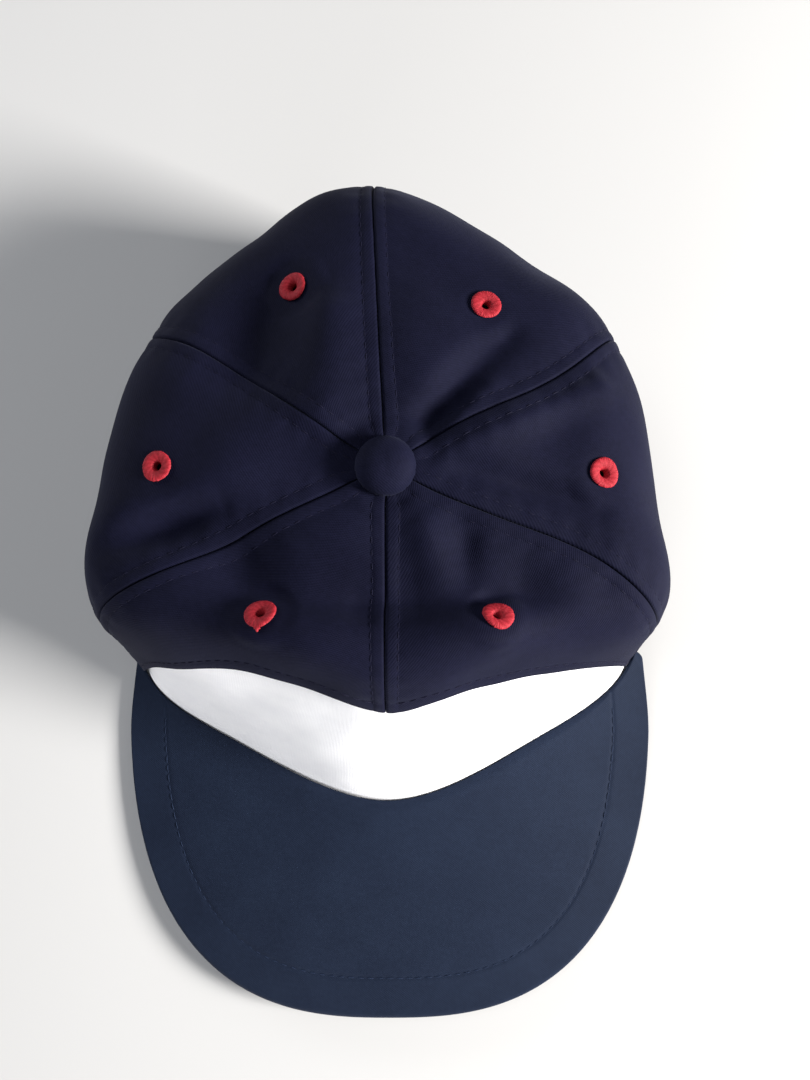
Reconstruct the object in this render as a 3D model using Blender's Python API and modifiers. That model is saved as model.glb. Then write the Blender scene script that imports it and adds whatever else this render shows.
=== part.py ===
"""A soft six-panel cap with a top button, six embroidered eyelets, a white front band and a peak.

Metres, +Z up, the front towards -Y, the rim's flat bottom on z = 0.

The crown is one surface, crown_surface(around, down), and every piece is placed by it.
around runs from 0 to 6 round the cap, seen from above anticlockwise from the front seam,
and is a whole number on each seam. down runs from 0 under the button to 1 at the rim.
"""

import bpy
import numpy as np
from math import cos, pi, radians, sin
from mathutils import Vector

# Crown sizes
CROWN_REACH = 0.088          # button's axis to the side walls, which the rib table's shares follow
CROWN_HEIGHT = 0.088         # surface that the cap stands on to the cloth under the button
CLOTH = 0.0013               # wall of one layer of cloth
RIM_WALL = 0.0028            # wall where the cloth is turned up inside the rim
RIM_TURN = 0.011             # height of that turned cloth
SEAT_REACH = 0.0095          # radius of the flat round place under the button
CLEARANCE = 0.0003           # gap between pieces that touch

# Seams between the crown's panels
SEAM_DEPTH = 0.0010          # how far a seam is drawn in
SEAM_REACH = 0.0050          # how far beside a seam the cloth follows it in

# Front band and the navy cloth's hem over it
BAND_TUCK = 0.008            # how far the band runs up behind the hem
BAND_END_GAP = 0.002         # from the band's ends to the side seams
BAND_FORWARD = 0.024         # bare height whose foot comes fully forward to the crown's surface

# Peak
PEAK_LENGTH = 0.070          # rim to the peak's front edge at the middle
PEAK_SIDE_REACH = 0.0047     # how far the peak stands out beside the rim's front corners
PEAK_THICKNESS = 0.0030
PEAK_ARCH = 0.012            # height of the peak's underside at the middle of the rim
PEAK_FRONT_ARCH = 0.006      # height of its underside at the middle of the front edge
PEAK_SQUARENESS = 2.7        # exponent of the outline: 2 is an ellipse, more is squarer
PEAK_TAPER = 0.02            # share of its width by which the peak narrows at its ears
PEAK_TAPER_REACH = 0.25      # share of its length over which it narrows
PEAK_EDGE_ROUND = 0.0013     # radius of its sewn edge
PEAK_WRAP = 1.04             # how far round the rim its foot reaches: 1 is the side seam

# Button
BUTTON_WIDTH = 0.0165
BUTTON_DOME = 0.0062         # height of its covered dome over the cloth
STEM_RADIUS = 0.0016
RIVET_RADIUS = 0.0036
RIVET_THICKNESS = 0.0010

# Embroidered eyelets
EYELET_WIDTH = 0.0086
EYELET_HOLE = 0.0030
EYELET_NECK = 0.0042         # across the thread that lines the hole in the cloth
EYELET_BACK_WIDTH = 0.0074
EYELET_THREAD = 0.0009       # how far the thread stands up on the cloth
EYELET_REACH = 0.060         # along the cloth from the button's axis
EYELET_CLEARANCE = 0.0005    # from its thread to the cloth, which bends under it
EYELET_STIFF_REACH = 0.012   # from its axis to where the cloth folds freely again, flat to half way

# Ribs of the crown, one down each seam and one down the middle of each panel.
# Directions are in degrees seen from above, reaches and roundness are shares of CROWN_REACH,
# the height of the shoulder, where the top turns down, and the swell of the top over a
# straight line are shares of CROWN_HEIGHT.
RIB_COLUMNS = ("name", "direction", "shoulder_reach", "shoulder_height", "roundness",
               "top_swell", "rim_direction", "rim_reach")
RIB_ROWS = (
    ("front_seam",         -90, 0.61, 1.13, 0.24, -0.01,  -90, 1.11),
    ("front_right_middle", -58, 0.62, 1.12, 0.16, -0.02,  -57, 1.05),
    ("front_right_seam",   -26, 0.98, 0.93, 0.28,  0.01,  -31, 1.12),
    ("side_right_middle",    1, 0.89, 0.92, 0.30,  0.02,   -1, 0.99),
    ("back_right_seam",     33, 0.95, 0.88, 0.30,  0.02,   32, 0.98),
    ("back_right_middle",   61, 0.94, 0.88, 0.30,  0.04,   60, 1.03),
    ("back_seam",           93, 1.13, 0.84, 0.32,  0.03,   90, 1.09),
    ("back_left_middle",   118, 1.04, 0.84, 0.34,  0.03,  120, 1.04),
    ("back_left_seam",     148, 0.99, 0.88, 0.30,  0.02,  148, 0.98),
    ("side_left_middle",   176, 0.965, 0.92, 0.30, 0.02,  181, 0.98),
    ("front_left_seam",    204, 1.035, 0.93, 0.28, 0.01,  211.5, 1.15),
    ("front_left_middle",  238, 0.63, 1.12, 0.16, -0.02,  237, 1.07),
)

# How far a seam's line bows sideways on the top of the crown, anticlockwise, as a share of
# CROWN_REACH; the share of the line at which the bow ends; and how far it leans to that end
SEAM_BOWS = {"front_right_seam": 0.044, "back_right_seam": -0.035, "back_left_seam": -0.030,
             "front_left_seam": 0.008}
BOW_END = 0.55
BOW_LEAN = 1.2

# Folds and dents, each a soft line from one place to another as seen from above.
# All columns but the name are shares of CROWN_REACH; a height below 0 is a dent.
FOLD_COLUMNS = ("name", "from_x", "from_y", "to_x", "to_y", "half_width", "height")
FOLD_ROWS = (
    ("back_left_ridge",      -0.07,  0.17, -0.17,  0.46, 0.10,  0.034),
    ("back_left_hollow",     -0.44,  0.34, -0.42,  0.60, 0.13, -0.036),
    ("back_right_valley",     0.12,  0.13,  0.40,  0.38, 0.08, -0.040),
    ("side_right_ridge",      0.16,  0.04,  0.67,  0.28, 0.06,  0.024),
    ("side_right_valley",     0.14, -0.01,  0.52, -0.06, 0.06, -0.024),
    ("side_left_valley",     -0.50, -0.13, -0.86, -0.24, 0.08, -0.036),
    ("front_right_dent",      0.06, -0.25,  0.12, -0.17, 0.07, -0.018),
    ("front_right_hollow",    0.28, -0.20,  0.27, -0.29, 0.06, -0.018),
    ("front_right_pocket",    0.50, -0.42,  0.66, -0.38, 0.08, -0.022),
    ("front_left_trough",    -0.44, -0.35, -0.10, -0.39, 0.12, -0.084),
    ("front_right_trough",    0.42, -0.36,  0.10, -0.38, 0.12, -0.084),
    ("front_left_swell",     -0.74, -0.42, -0.56, -0.38, 0.12,  0.014),
)

# Lower edge of the navy cloth over the white band, at equal steps from the left side seam
# over the front seam to the right side seam, as shares of the way from the button to the rim
HEM_DOWN = (1.00, 0.70, 0.55, 0.51, 0.50, 0.52, 0.505, 0.535, 0.595, 0.70, 1.00)

# Panels in order from the front seam, with each one's eyelet: its name, its place across
# the panel from 0 to 1, and its distance from the button as a share of EYELET_REACH
PANEL_COLUMNS = ("panel", "eyelet", "across", "reach")
PANEL_ROWS = (
    ("crown_panel_front_right", "eyelet_front_right", 0.575, 0.898),
    ("crown_panel_side_right",  "eyelet_right",       0.475, 1.034),
    ("crown_panel_back_right",  "eyelet_back_right",  0.480, 0.966),
    ("crown_panel_back_left",   "eyelet_back_left",   0.463, 1.044),
    ("crown_panel_side_left",   "eyelet_left",        0.550, 1.039),
    ("crown_panel_front_left",  "eyelet_front_left",  0.374, 0.898),
)

# Fineness of the meshes
RIB_STEPS = 240
SLOPE_STEP = 0.001           # to each side, where a slope is measured
FACES_ACROSS_PANEL = 12
FACES_DOWN_PANEL = 17
FACES_DOWN_BAND = 6
FACES_DOWN_PEAK = 6
BUTTON_SIDES = 24
DOME_STEPS = 7
EYELET_SIDES = 14

# Base colour and roughness of each cloth and thread
NAVY_CLOTH = ((0.010, 0.010, 0.028), 0.85)
PEAK_CLOTH = ((0.012, 0.018, 0.045), 0.80)
WHITE_CLOTH = ((0.86, 0.85, 0.90), 0.80)
RED_THREAD = ((0.62, 0.03, 0.05), 0.55)

ribs = [dict(zip(RIB_COLUMNS, row)) for row in RIB_ROWS]
folds = [dict(zip(FOLD_COLUMNS, row)) for row in FOLD_ROWS]
panels = [dict(zip(PANEL_COLUMNS, row)) for row in PANEL_ROWS]


# Curves and steps

def ease(x):
    """0 below 0, 1 above 1 and a smooth step between."""
    x = np.clip(x, 0, 1)
    return x * x * (3 - 2 * x)


def smooth_step_between(before, start, end, after, t):
    """Cubic from start to end whose slope at each is half the step between its neighbours."""
    slope_in = (end - before) / 2
    slope_out = (after - start) / 2
    cubic = 2 * start - 2 * end + slope_in + slope_out
    square = 3 * end - 3 * start - 2 * slope_in - slope_out
    return ((cubic * t + square) * t + slope_in) * t + start


def on_plan(direction, reach):
    """Place seen from above, at a reach from the button's axis."""
    angle = radians(direction)
    return np.array([reach * cos(angle), reach * sin(angle)])


# The rim's front corners carry the ends of the peak
CORNER_REACH = max(abs(on_plan(rib["rim_direction"], rib["rim_reach"] * CROWN_REACH)[0])
                   for rib in ribs if rib["name"] in ("front_left_seam", "front_right_seam"))
PEAK_HALF_WIDTH = CORNER_REACH + PEAK_SIDE_REACH


def arch_height(x, crest):
    """Height of the peak's underside: a parabola across the cap that is 0 at its sides."""
    return crest * (1 - (x / PEAK_HALF_WIDTH) ** 2)


# The crown's surface

def rib_line(rib):
    """Equally spaced points down one rib from the edge of the seat: a line to the shoulder,
    a parabola round it and a line down to the rim, with a seam's sideways bow on the top."""
    seat = np.append(on_plan(rib["direction"], SEAT_REACH), CROWN_HEIGHT)
    shoulder = np.append(on_plan(rib["direction"], rib["shoulder_reach"] * CROWN_REACH),
                         rib["shoulder_height"] * CROWN_HEIGHT)
    rim = np.append(on_plan(rib["rim_direction"], rib["rim_reach"] * CROWN_REACH), 0)
    if rib["name"] in ("front_seam", "front_right_middle", "front_left_middle"):
        rim[2] = arch_height(rim[0], PEAK_ARCH)
    top_run = shoulder - seat
    wall_run = rim - shoulder
    rounding = rib["roundness"] * CROWN_REACH
    turn_start = shoulder - top_run * (rounding / np.linalg.norm(top_run))
    turn_end = shoulder + wall_run * (rounding / np.linalg.norm(wall_run))
    t = np.linspace(0, 1, RIB_STEPS)[:, None]
    top = seat + (turn_start - seat) * t
    top[:, 2] += rib["top_swell"] * CROWN_HEIGHT * np.sin(pi * t[:, 0]) ** 2
    turn = (1 - t) ** 2 * turn_start + 2 * t * (1 - t) * shoulder + t ** 2 * turn_end
    wall = turn_end + (rim - turn_end) * t
    line = np.vstack([top, turn[1:], wall[1:]])
    steps = np.linalg.norm(np.diff(line, axis=0), axis=1)
    length = np.append(0, np.cumsum(steps))
    wanted = np.linspace(0, length[-1], RIB_STEPS + 1)
    points = np.stack([np.interp(wanted, length, line[:, axis]) for axis in range(3)], axis=-1)
    bow = SEAM_BOWS.get(rib["name"], 0) * CROWN_REACH
    along = np.clip(wanted / length[-1] / BOW_END, 0, 1)[:, None] ** BOW_LEAN
    points[:, :2] += on_plan(rib["direction"] + 90, bow) * np.sin(pi * along) ** 2
    return points, length[-1]


rib_lines = [rib_line(rib) for rib in ribs]
rib_points = np.stack([points for points, length in rib_lines])
RIB_LENGTH = SEAT_REACH + sum(length for points, length in rib_lines) / len(ribs)
SEAT_SHARE = SEAT_REACH / RIB_LENGTH


def smooth_crown(around, down):
    """The crown before its seams and folds: each place is on the smooth closed curve through
    the ribs' points at the same share of the way down, and the seat is a flat round."""
    share = np.clip((down - SEAT_SHARE) / (1 - SEAT_SHARE), 0, 1) * RIB_STEPS
    index = np.minimum(share.astype(int), RIB_STEPS - 1)
    part = (share - index)[..., None]
    place = 2 * around
    rib = np.floor(place).astype(int)
    near = []
    for step in (-1, 0, 1, 2):
        neighbour = (rib + step) % len(ribs)
        near.append(rib_points[neighbour, index] * (1 - part)
                    + rib_points[neighbour, index + 1] * part)
    points = smooth_step_between(*near, (place - rib)[..., None])
    points[..., 2] = np.maximum(points[..., 2], 0)
    middle = np.array([0, 0, CROWN_HEIGHT])
    return middle + (points - middle) * np.clip(down / SEAT_SHARE, 0, 1)[..., None]


def surface_normals(surface, around, down):
    """Outward unit normals of a surface, from the differences across a small step each way."""
    step = 0.002
    along = surface(around, np.minimum(down + step, 1)) - surface(around, down - step)
    across = surface(around + step, down) - surface(around - step, down)
    normals = np.cross(along, across)
    return normals / np.linalg.norm(normals, axis=-1, keepdims=True)


def eyelet_place(first_seam, panel):
    around = np.array(first_seam + panel["across"])
    down = np.array(panel["reach"] * EYELET_REACH / RIB_LENGTH)
    return around, down


eyelet_centres = [smooth_crown(*eyelet_place(*numbered)) for numbered in enumerate(panels)]


def sum_of_folds(places):
    """Sum of the folds at places seen from above: each is a bell across its line, and round
    the line's ends."""
    height = np.zeros(places.shape[:-1])
    for fold in folds:
        start = np.array([fold["from_x"], fold["from_y"]]) * CROWN_REACH
        end = np.array([fold["to_x"], fold["to_y"]]) * CROWN_REACH
        run = end - start
        away = places - start
        share = np.clip(away @ run / (run @ run), 0, 1)
        distance = np.linalg.norm(away - share[..., None] * run, axis=-1)
        bell = np.exp(-(distance / (fold["half_width"] * CROWN_REACH)) ** 2)
        height += fold["height"] * CROWN_REACH * bell
    return height


def fold_height(points):
    """Sum of the folds at the points, but flat round each eyelet, whose stiff thread keeps the
    cloth in the plane that touches the folds at its centre."""
    height = sum_of_folds(points[..., :2])
    step = SLOPE_STEP * np.eye(2)
    for centre in eyelet_centres:
        place = centre[:2]
        slope = (sum_of_folds(place + step) - sum_of_folds(place - step)) / (2 * SLOPE_STEP)
        plane = sum_of_folds(place) + (points[..., :2] - place) @ slope
        distance = np.linalg.norm(points - centre, axis=-1)
        height += (plane - height) * (1 - ease(2 * distance / EYELET_STIFF_REACH - 1))
    return height


def panel_width(around, down):
    """Straight distance between the two seams of a panel at the same share of the way down."""
    seam = np.floor(around)
    return np.linalg.norm(smooth_crown(seam + 1, down) - smooth_crown(seam, down), axis=-1)


def seam_depth(around, down):
    """How far the seams draw the cloth in: a bell beside each seam, narrower by the button."""
    width = panel_width(around, down)
    from_seam = np.abs(around - np.round(around)) * width
    return SEAM_DEPTH * np.exp(-(from_seam / np.minimum(SEAM_REACH, width / 4)) ** 2)


def crown_surface(around, down):
    """Outer surface of the crown: the smooth crown moved along its normals by the folds, which
    fade out where it turns down into the walls, and by the seams. Both fade out at the seat
    and at the rim."""
    points = smooth_crown(around, down)
    normals = surface_normals(smooth_crown, around, down)
    past_seat = ease((down - SEAT_SHARE) / SEAT_SHARE)
    above_rim = ease((1 - down) * RIB_LENGTH / RIM_TURN)
    on_top = ease(2 * normals[..., 2] - 0.5)
    height = past_seat * above_rim * (on_top * fold_height(points) - seam_depth(around, down))
    return points + normals * height[..., None]


def crown_normals(around, down):
    return surface_normals(crown_surface, around, down)


def hem_down(around):
    """How far down the navy cloth's hem lies, for around from -1 to 1."""
    last = len(HEM_DOWN) - 1
    place = np.clip((around + 1) / 2 * last, 0, last)
    index = np.minimum(place.astype(int), last - 1)
    values = np.array(HEM_DOWN)
    near = [values[np.clip(index + step, 0, last)] for step in (-1, 0, 1, 2)]
    return smooth_step_between(*near, place - index)


# Meshes and objects

def mesh_from_faces(name, points, faces):
    mesh = bpy.data.meshes.new(name)
    mesh.from_pydata(points.tolist(), [], faces)
    mesh.update()
    return mesh


def wall_between(name, outer, inner):
    """Closed wall between two sheets of the same rows and columns of points. Neighbouring
    panels share their walls' direction at a seam, so the gap between them stays the same
    from outside to inside, which a thickness given to each panel by itself wouldn't keep."""
    rows, columns = outer.shape[:2]
    front = np.arange(rows * columns).reshape(rows, columns)
    back = front + rows * columns
    faces = np.stack([front[:-1, :-1], front[1:, :-1], front[1:, 1:], front[:-1, 1:]], axis=-1)
    back_faces = np.stack([back[:-1, :-1], back[:-1, 1:], back[1:, 1:], back[1:, :-1]], axis=-1)
    edge = np.concatenate([front[:-1, 0], front[-1, :-1], front[:0:-1, -1], front[0, :0:-1]])
    after = np.roll(edge, -1)
    shift = rows * columns
    side_faces = np.stack([edge, edge + shift, after + shift, after], axis=-1)
    every_face = np.concatenate([faces.reshape(-1, 4), back_faces.reshape(-1, 4), side_faces])
    points = np.concatenate([outer.reshape(-1, 3), inner.reshape(-1, 3)])
    return mesh_from_faces(name, points, every_face.tolist())


def ring_from_sections(name, sections):
    """Closed ring through sections that stand round it, each a closed loop of points."""
    index = np.arange(sections.shape[0] * sections.shape[1]).reshape(sections.shape[:2])
    beside = np.roll(index, -1, axis=0)
    faces = np.stack([index, np.roll(index, -1, axis=1), np.roll(beside, -1, axis=1), beside],
                     axis=-1)
    return mesh_from_faces(name, sections.reshape(-1, 3), faces.reshape(-1, 4).tolist())


def finish_material(name, finish):
    colour, roughness = finish
    material = bpy.data.materials.new(name)
    material.use_nodes = True
    shader = material.node_tree.nodes["Principled BSDF"]
    shader.inputs["Base Color"].default_value = (*colour, 1)
    shader.inputs["Roughness"].default_value = roughness
    shader.inputs["Metallic"].default_value = 0
    return material


def add_piece(name, mesh, finish):
    """One sub-part of the cap, on the cap's frame and with a material of its own."""
    mesh.materials.append(finish_material(name + "_finish", finish))
    mesh.shade_smooth()
    mesh.set_sharp_from_angle(angle=radians(40))
    piece = bpy.data.objects.new(name, mesh)
    cap_pieces.objects.link(piece)
    piece.parent = cap_frame
    return piece


def split_faces(piece):
    """Splits the faces across their shorter way, which keeps slanted rows of them smooth."""
    split = piece.modifiers.new("split_faces", "TRIANGULATE")
    split.quad_method = "SHORTEST_DIAGONAL"


# The pieces

def across_steps():
    """Places across a panel from seam to seam, closer together beside the seams."""
    equal = np.linspace(0, 1, FACES_ACROSS_PANEL + 1)
    return equal - 0.6 * np.sin(2 * pi * equal) / (2 * pi)


def add_crown_panel(first_seam, panel):
    """A panel of cloth from the hole for the button's stem to the rim, where it is turned up
    inside, or at the front to the hem over the white band."""
    across = across_steps()
    first = SEAT_SHARE * (STEM_RADIUS + CLEARANCE) / SEAT_REACH
    rows = np.linspace(0, 1, FACES_DOWN_PANEL + 1)[:, None]
    if "front" in panel["panel"]:
        from_front = first_seam if first_seam == 0 else first_seam - len(panels)
        last = hem_down(from_front + across)
        down = first + (last - first) * rows
        wall = np.full(down.shape, CLOTH)
    else:
        turn = 1 - RIM_TURN / RIB_LENGTH
        turned = turn + CLOTH / RIB_LENGTH
        down = np.concatenate([first + (turn - first) * rows, [[turned], [1]]])
        down = np.repeat(down, len(across), axis=1)
        wall = np.where(down > turn, RIM_WALL, CLOTH)
    edge_inset = CLEARANCE / 2 / panel_width(first_seam + 0 * down, down)
    around = first_seam + edge_inset + (1 - 2 * edge_inset) * across
    outer = crown_surface(around, down)
    normals = crown_normals(first_seam + across + 0 * down, down)
    inner = outer - normals * wall[..., None]
    inner[..., 2] = np.where(down > 1 - 1e-6, outer[..., 2], inner[..., 2])
    piece = add_piece(panel["panel"], wall_between(panel["panel"], outer, inner), NAVY_CLOTH)
    split_faces(piece)
    cut_eyelet_hole(piece, first_seam, panel)


def cut_eyelet_hole(piece, first_seam, panel):
    """Round hole through the panel, wider than the eyelet's neck by the clearance all round."""
    around, down = eyelet_place(first_seam, panel)
    centre = Vector(crown_surface(around, down))
    normal = Vector(crown_normals(around, down))
    bpy.ops.mesh.primitive_cylinder_add(vertices=EYELET_SIDES, depth=6 * CLOTH,
                                        radius=EYELET_NECK / 2 + CLEARANCE)
    cutter = bpy.context.object
    cutter.name = panel["eyelet"] + "_cutter"
    cutter.parent = cap_frame
    cutter.location = centre
    cutter.rotation_mode = "QUATERNION"
    cutter.rotation_quaternion = normal.to_track_quat("Z", "Y")
    cutter.display_type = "WIRE"
    cutter.hide_render = True
    for collection in list(cutter.users_collection):
        collection.objects.unlink(cutter)
    cutters.objects.link(cutter)
    hole = piece.modifiers.new("eyelet_hole", "BOOLEAN")
    hole.operation = "DIFFERENCE"
    hole.solver = "EXACT"
    hole.object = cutter


def eyelet_section():
    """The thread's section as reach from the eyelet's axis and height over the cloth: a low
    dome outside, a neck through the cloth and a smaller ring inside."""
    hole = EYELET_HOLE / 2
    outside = EYELET_WIDTH / 2
    inside = EYELET_BACK_WIDTH / 2
    neck = EYELET_NECK / 2
    top = EYELET_CLEARANCE
    bottom = -CLOTH - EYELET_CLEARANCE
    return np.array([
        (neck, top),
        (outside, top),
        (0.96 * outside, top + 0.5 * EYELET_THREAD),
        (0.75 * outside, top + EYELET_THREAD),
        (0.45 * outside, top + 0.8 * EYELET_THREAD),
        (hole, top),
        (hole, bottom),
        (0.50 * inside, bottom - 0.8 * EYELET_THREAD),
        (0.85 * inside, bottom - 0.7 * EYELET_THREAD),
        (inside, bottom),
        (neck, bottom),
    ])


def add_eyelet(first_seam, panel):
    """Embroidered ring that follows the crown's surface round its hole."""
    around, down = eyelet_place(first_seam, panel)
    step = 0.004
    run_around = (crown_surface(around + step, down) - crown_surface(around - step, down)) / (2 * step)
    run_down = (crown_surface(around, down + step) - crown_surface(around, down - step)) / (2 * step)
    side = run_around / np.linalg.norm(run_around)
    onward = np.cross(side, crown_normals(around, down))
    plane = np.array([[run_around @ side, run_down @ side], [run_around @ onward, run_down @ onward]])
    section = eyelet_section()
    turn = np.linspace(0, 2 * pi, EYELET_SIDES, endpoint=False)[:, None]
    offsets = np.stack([section[:, 0] * np.cos(turn), section[:, 0] * np.sin(turn)], axis=-1)
    shares = offsets @ np.linalg.inv(plane).T
    places = around + shares[..., 0], down + shares[..., 1]
    sections = crown_surface(*places) + crown_normals(*places) * section[:, 1][None, :, None]
    add_piece(panel["eyelet"], ring_from_sections(panel["eyelet"], sections), RED_THREAD)


def add_front_band():
    """White cloth across the front, from behind the navy hem down to the foot of the crown.
    It lies one layer of cloth behind the crown's surface under the hem, and comes forward
    to that surface towards its foot."""
    across = across_steps()
    across = np.concatenate([across - 1, across[1:]])
    hem = hem_down(across)
    first = hem - BAND_TUCK / RIB_LENGTH
    down = first + (1 - first) * np.linspace(0, 1, FACES_DOWN_BAND + 1)[:, None]
    end_inset = BAND_END_GAP / panel_width(0 * down, down)
    around = (1 - end_inset) * across
    bare = (1 - hem) * RIB_LENGTH
    below_hem = (down - hem) * RIB_LENGTH
    forward = ease(below_hem / np.maximum(bare, CLOTH)) * ease(bare / BAND_FORWARD)
    behind = (CLOTH + CLEARANCE) * (1 - forward)
    surface = crown_surface(around, down)
    normals = crown_normals(around, down)
    outer = surface - normals * behind[..., None]
    inner = outer - normals * CLOTH
    for sheet in (outer, inner):
        sheet[-1, :, 2] = surface[-1, :, 2]
    band = add_piece("front_band", wall_between("front_band", outer, inner), WHITE_CLOTH)
    split_faces(band)


def rim_front_point(around, height):
    """Point a clearance in front of the crown's face at a height near the rim."""
    upper = crown_surface(around, np.full(around.shape, 0.96))
    lower = crown_surface(around, np.ones(around.shape))
    share = (height - lower[:, 2]) / (upper[:, 2] - lower[:, 2])
    on_face = lower + (upper - lower) * share[:, None]
    normal = crown_normals(around, np.full(around.shape, 0.98))
    flat = normal[:, :2] / np.linalg.norm(normal[:, :2], axis=1, keepdims=True)
    on_face[:, :2] += flat * (CLEARANCE / (normal[:, :2] * flat).sum(axis=1))[:, None]
    return on_face


def add_peak():
    """Stiff curved peak: between the crown's foot and a squarish half-oval outline it is
    arched across, and the arch gets lower towards the front edge."""
    across = across_steps()
    wide = np.diff(across) > 1 / FACES_ACROSS_PANEL
    between = (across[1:] + across[:-1])[wide] / 2
    half = np.sort(np.concatenate([across, between, [PEAK_WRAP]]))
    around = np.concatenate([-half[:0:-1], half])
    foot = crown_surface(around, np.ones(around.shape))
    turn = around / around[-1] * pi / 2
    ends_y = foot[-1, 1]
    front_y = foot[len(half) - 1, 1] - PEAK_LENGTH
    power = 2 / PEAK_SQUARENESS
    forward = np.cos(turn) ** power
    half_width = PEAK_HALF_WIDTH * (1 - PEAK_TAPER * ease(1 - forward / PEAK_TAPER_REACH))
    edge_x = half_width * np.sign(turn) * np.abs(np.sin(turn)) ** power
    edge_y = ends_y + (front_y - ends_y) * forward
    edge = np.stack([edge_x, edge_y], axis=-1)
    inner_heights = arch_height(foot[:, 0], PEAK_ARCH)
    share = np.linspace(0, 1, FACES_DOWN_PEAK + 1)[:, None]
    sheets = []
    for lift in (PEAK_THICKNESS, 0):
        inner_edge = rim_front_point(around, inner_heights + lift)[:, :2]
        places = inner_edge + (edge - inner_edge) * share[..., None]
        crest = PEAK_ARCH + (PEAK_FRONT_ARCH - PEAK_ARCH) * share
        height = np.maximum(arch_height(places[..., 0], crest), 0) + lift
        sheets.append(np.concatenate([places, height[..., None]], axis=-1))
    peak = add_piece("peak", wall_between("peak", *sheets), PEAK_CLOTH)
    edge_round = peak.modifiers.new("sewn_edge", "BEVEL")
    edge_round.width = PEAK_EDGE_ROUND
    edge_round.segments = 2
    edge_round.limit_method = "ANGLE"
    edge_round.angle_limit = radians(50)


def add_button():
    """Cloth-covered dome on a stem through the crown, held inside by a flat rivet head: one
    turned profile, from the top of the dome down its outer side to the rivet."""
    bend = np.linspace(0, pi / 2, DOME_STEPS + 1)
    dome_x = BUTTON_WIDTH / 2 * np.sin(bend) ** 0.9
    dome_z = CLEARANCE + 0.22 * BUTTON_DOME + 0.78 * BUTTON_DOME * np.cos(bend)
    profile = list(zip(dome_x, dome_z))
    under = -CLOTH - CLEARANCE
    profile += [
        (0.93 * BUTTON_WIDTH / 2, CLEARANCE),
        (STEM_RADIUS, CLEARANCE),
        (STEM_RADIUS, under),
        (RIVET_RADIUS, under),
        (RIVET_RADIUS, under - RIVET_THICKNESS),
        (0, under - RIVET_THICKNESS),
    ]
    mesh = bpy.data.meshes.new("button")
    points = [(x, 0, z) for x, z in profile]
    mesh.from_pydata(points, [(index, index + 1) for index in range(len(points) - 1)], [])
    button = add_piece("button", mesh, NAVY_CLOTH)
    button.location = (0, 0, CROWN_HEIGHT)
    turned = button.modifiers.new("turned", "SCREW")
    turned.steps = BUTTON_SIDES
    turned.render_steps = BUTTON_SIDES
    turned.use_merge_vertices = True
    turned.merge_threshold = 0.00001


# Scene

for thing in list(bpy.data.objects):
    bpy.data.objects.remove(thing)

cap_pieces = bpy.data.collections.new("six_panel_cap")
cutters = bpy.data.collections.new("cutters")
bpy.context.scene.collection.children.link(cap_pieces)
bpy.context.scene.collection.children.link(cutters)

# The origin lies under the middle of the whole cap, which the frame sets off from the button
grid_around, grid_down = np.meshgrid(np.linspace(0, 6, 121), np.linspace(SEAT_SHARE, 1, 61))
crown_points = crown_surface(grid_around, grid_down)
front_edge = crown_surface(np.zeros(1), np.ones(1))[0, 1] - PEAK_LENGTH
middle_x = (min(crown_points[..., 0].min(), -PEAK_HALF_WIDTH)
            + max(crown_points[..., 0].max(), PEAK_HALF_WIDTH)) / 2
middle_y = (crown_points[..., 1].max() + front_edge) / 2
cap_frame = bpy.data.objects.new("cap_frame", None)
cap_frame.location = (-middle_x, -middle_y, 0)
cap_pieces.objects.link(cap_frame)

for first_seam, panel in enumerate(panels):
    add_crown_panel(first_seam, panel)
    add_eyelet(first_seam, panel)
add_front_band()
add_peak()
add_button()
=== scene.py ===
"""Looks of a soft six-panel cap: twill panels with sewn seams, embroidered eyelets, a white front
band, a boarded peak and a cloth-covered button, seen from above on a pale floor.

Metres, +Z up, the front towards -Y, the rim on z = 0. The crown is worked out as in the CAD model,
by around, from 0 to 6 anticlockwise from the front seam and whole on each seam, and down, from 0
under the button to 1 at the rim. The finer relief of the sewn cloth is added along its normals.
"""

from math import cos, pi, radians, sin

import bmesh
import bpy
import numpy as np
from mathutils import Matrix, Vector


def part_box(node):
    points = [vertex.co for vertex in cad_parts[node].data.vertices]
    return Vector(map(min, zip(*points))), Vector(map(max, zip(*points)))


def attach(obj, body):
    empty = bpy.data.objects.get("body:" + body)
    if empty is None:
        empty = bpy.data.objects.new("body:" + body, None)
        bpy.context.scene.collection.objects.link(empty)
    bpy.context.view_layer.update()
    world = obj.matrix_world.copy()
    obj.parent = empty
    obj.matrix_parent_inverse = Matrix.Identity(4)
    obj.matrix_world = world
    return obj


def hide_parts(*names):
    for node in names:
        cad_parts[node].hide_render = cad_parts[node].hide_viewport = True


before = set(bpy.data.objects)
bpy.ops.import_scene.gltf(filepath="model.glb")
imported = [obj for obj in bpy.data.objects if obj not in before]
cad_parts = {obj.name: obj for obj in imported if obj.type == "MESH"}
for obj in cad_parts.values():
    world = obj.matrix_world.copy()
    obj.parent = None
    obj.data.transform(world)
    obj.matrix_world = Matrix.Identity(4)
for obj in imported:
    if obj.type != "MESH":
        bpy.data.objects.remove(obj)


def table(columns, rows):
    """Rows as dictionaries by the names of their columns."""
    return [dict(zip(columns.split(), row)) for row in rows]


# Crown, as in the CAD model
CROWN_REACH = 0.088  # from the button's axis to the side walls
CROWN_HEIGHT = 0.088  # floor to the cloth under the button
CLOTH = 0.0013  # wall of one layer of cloth
RIM_WALL = 0.0028  # wall where the cloth is turned up inside the rim
RIM_TURN = 0.011  # height of that turned cloth
SEAT_REACH = 0.0095  # radius of the flat round place under the button

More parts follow.
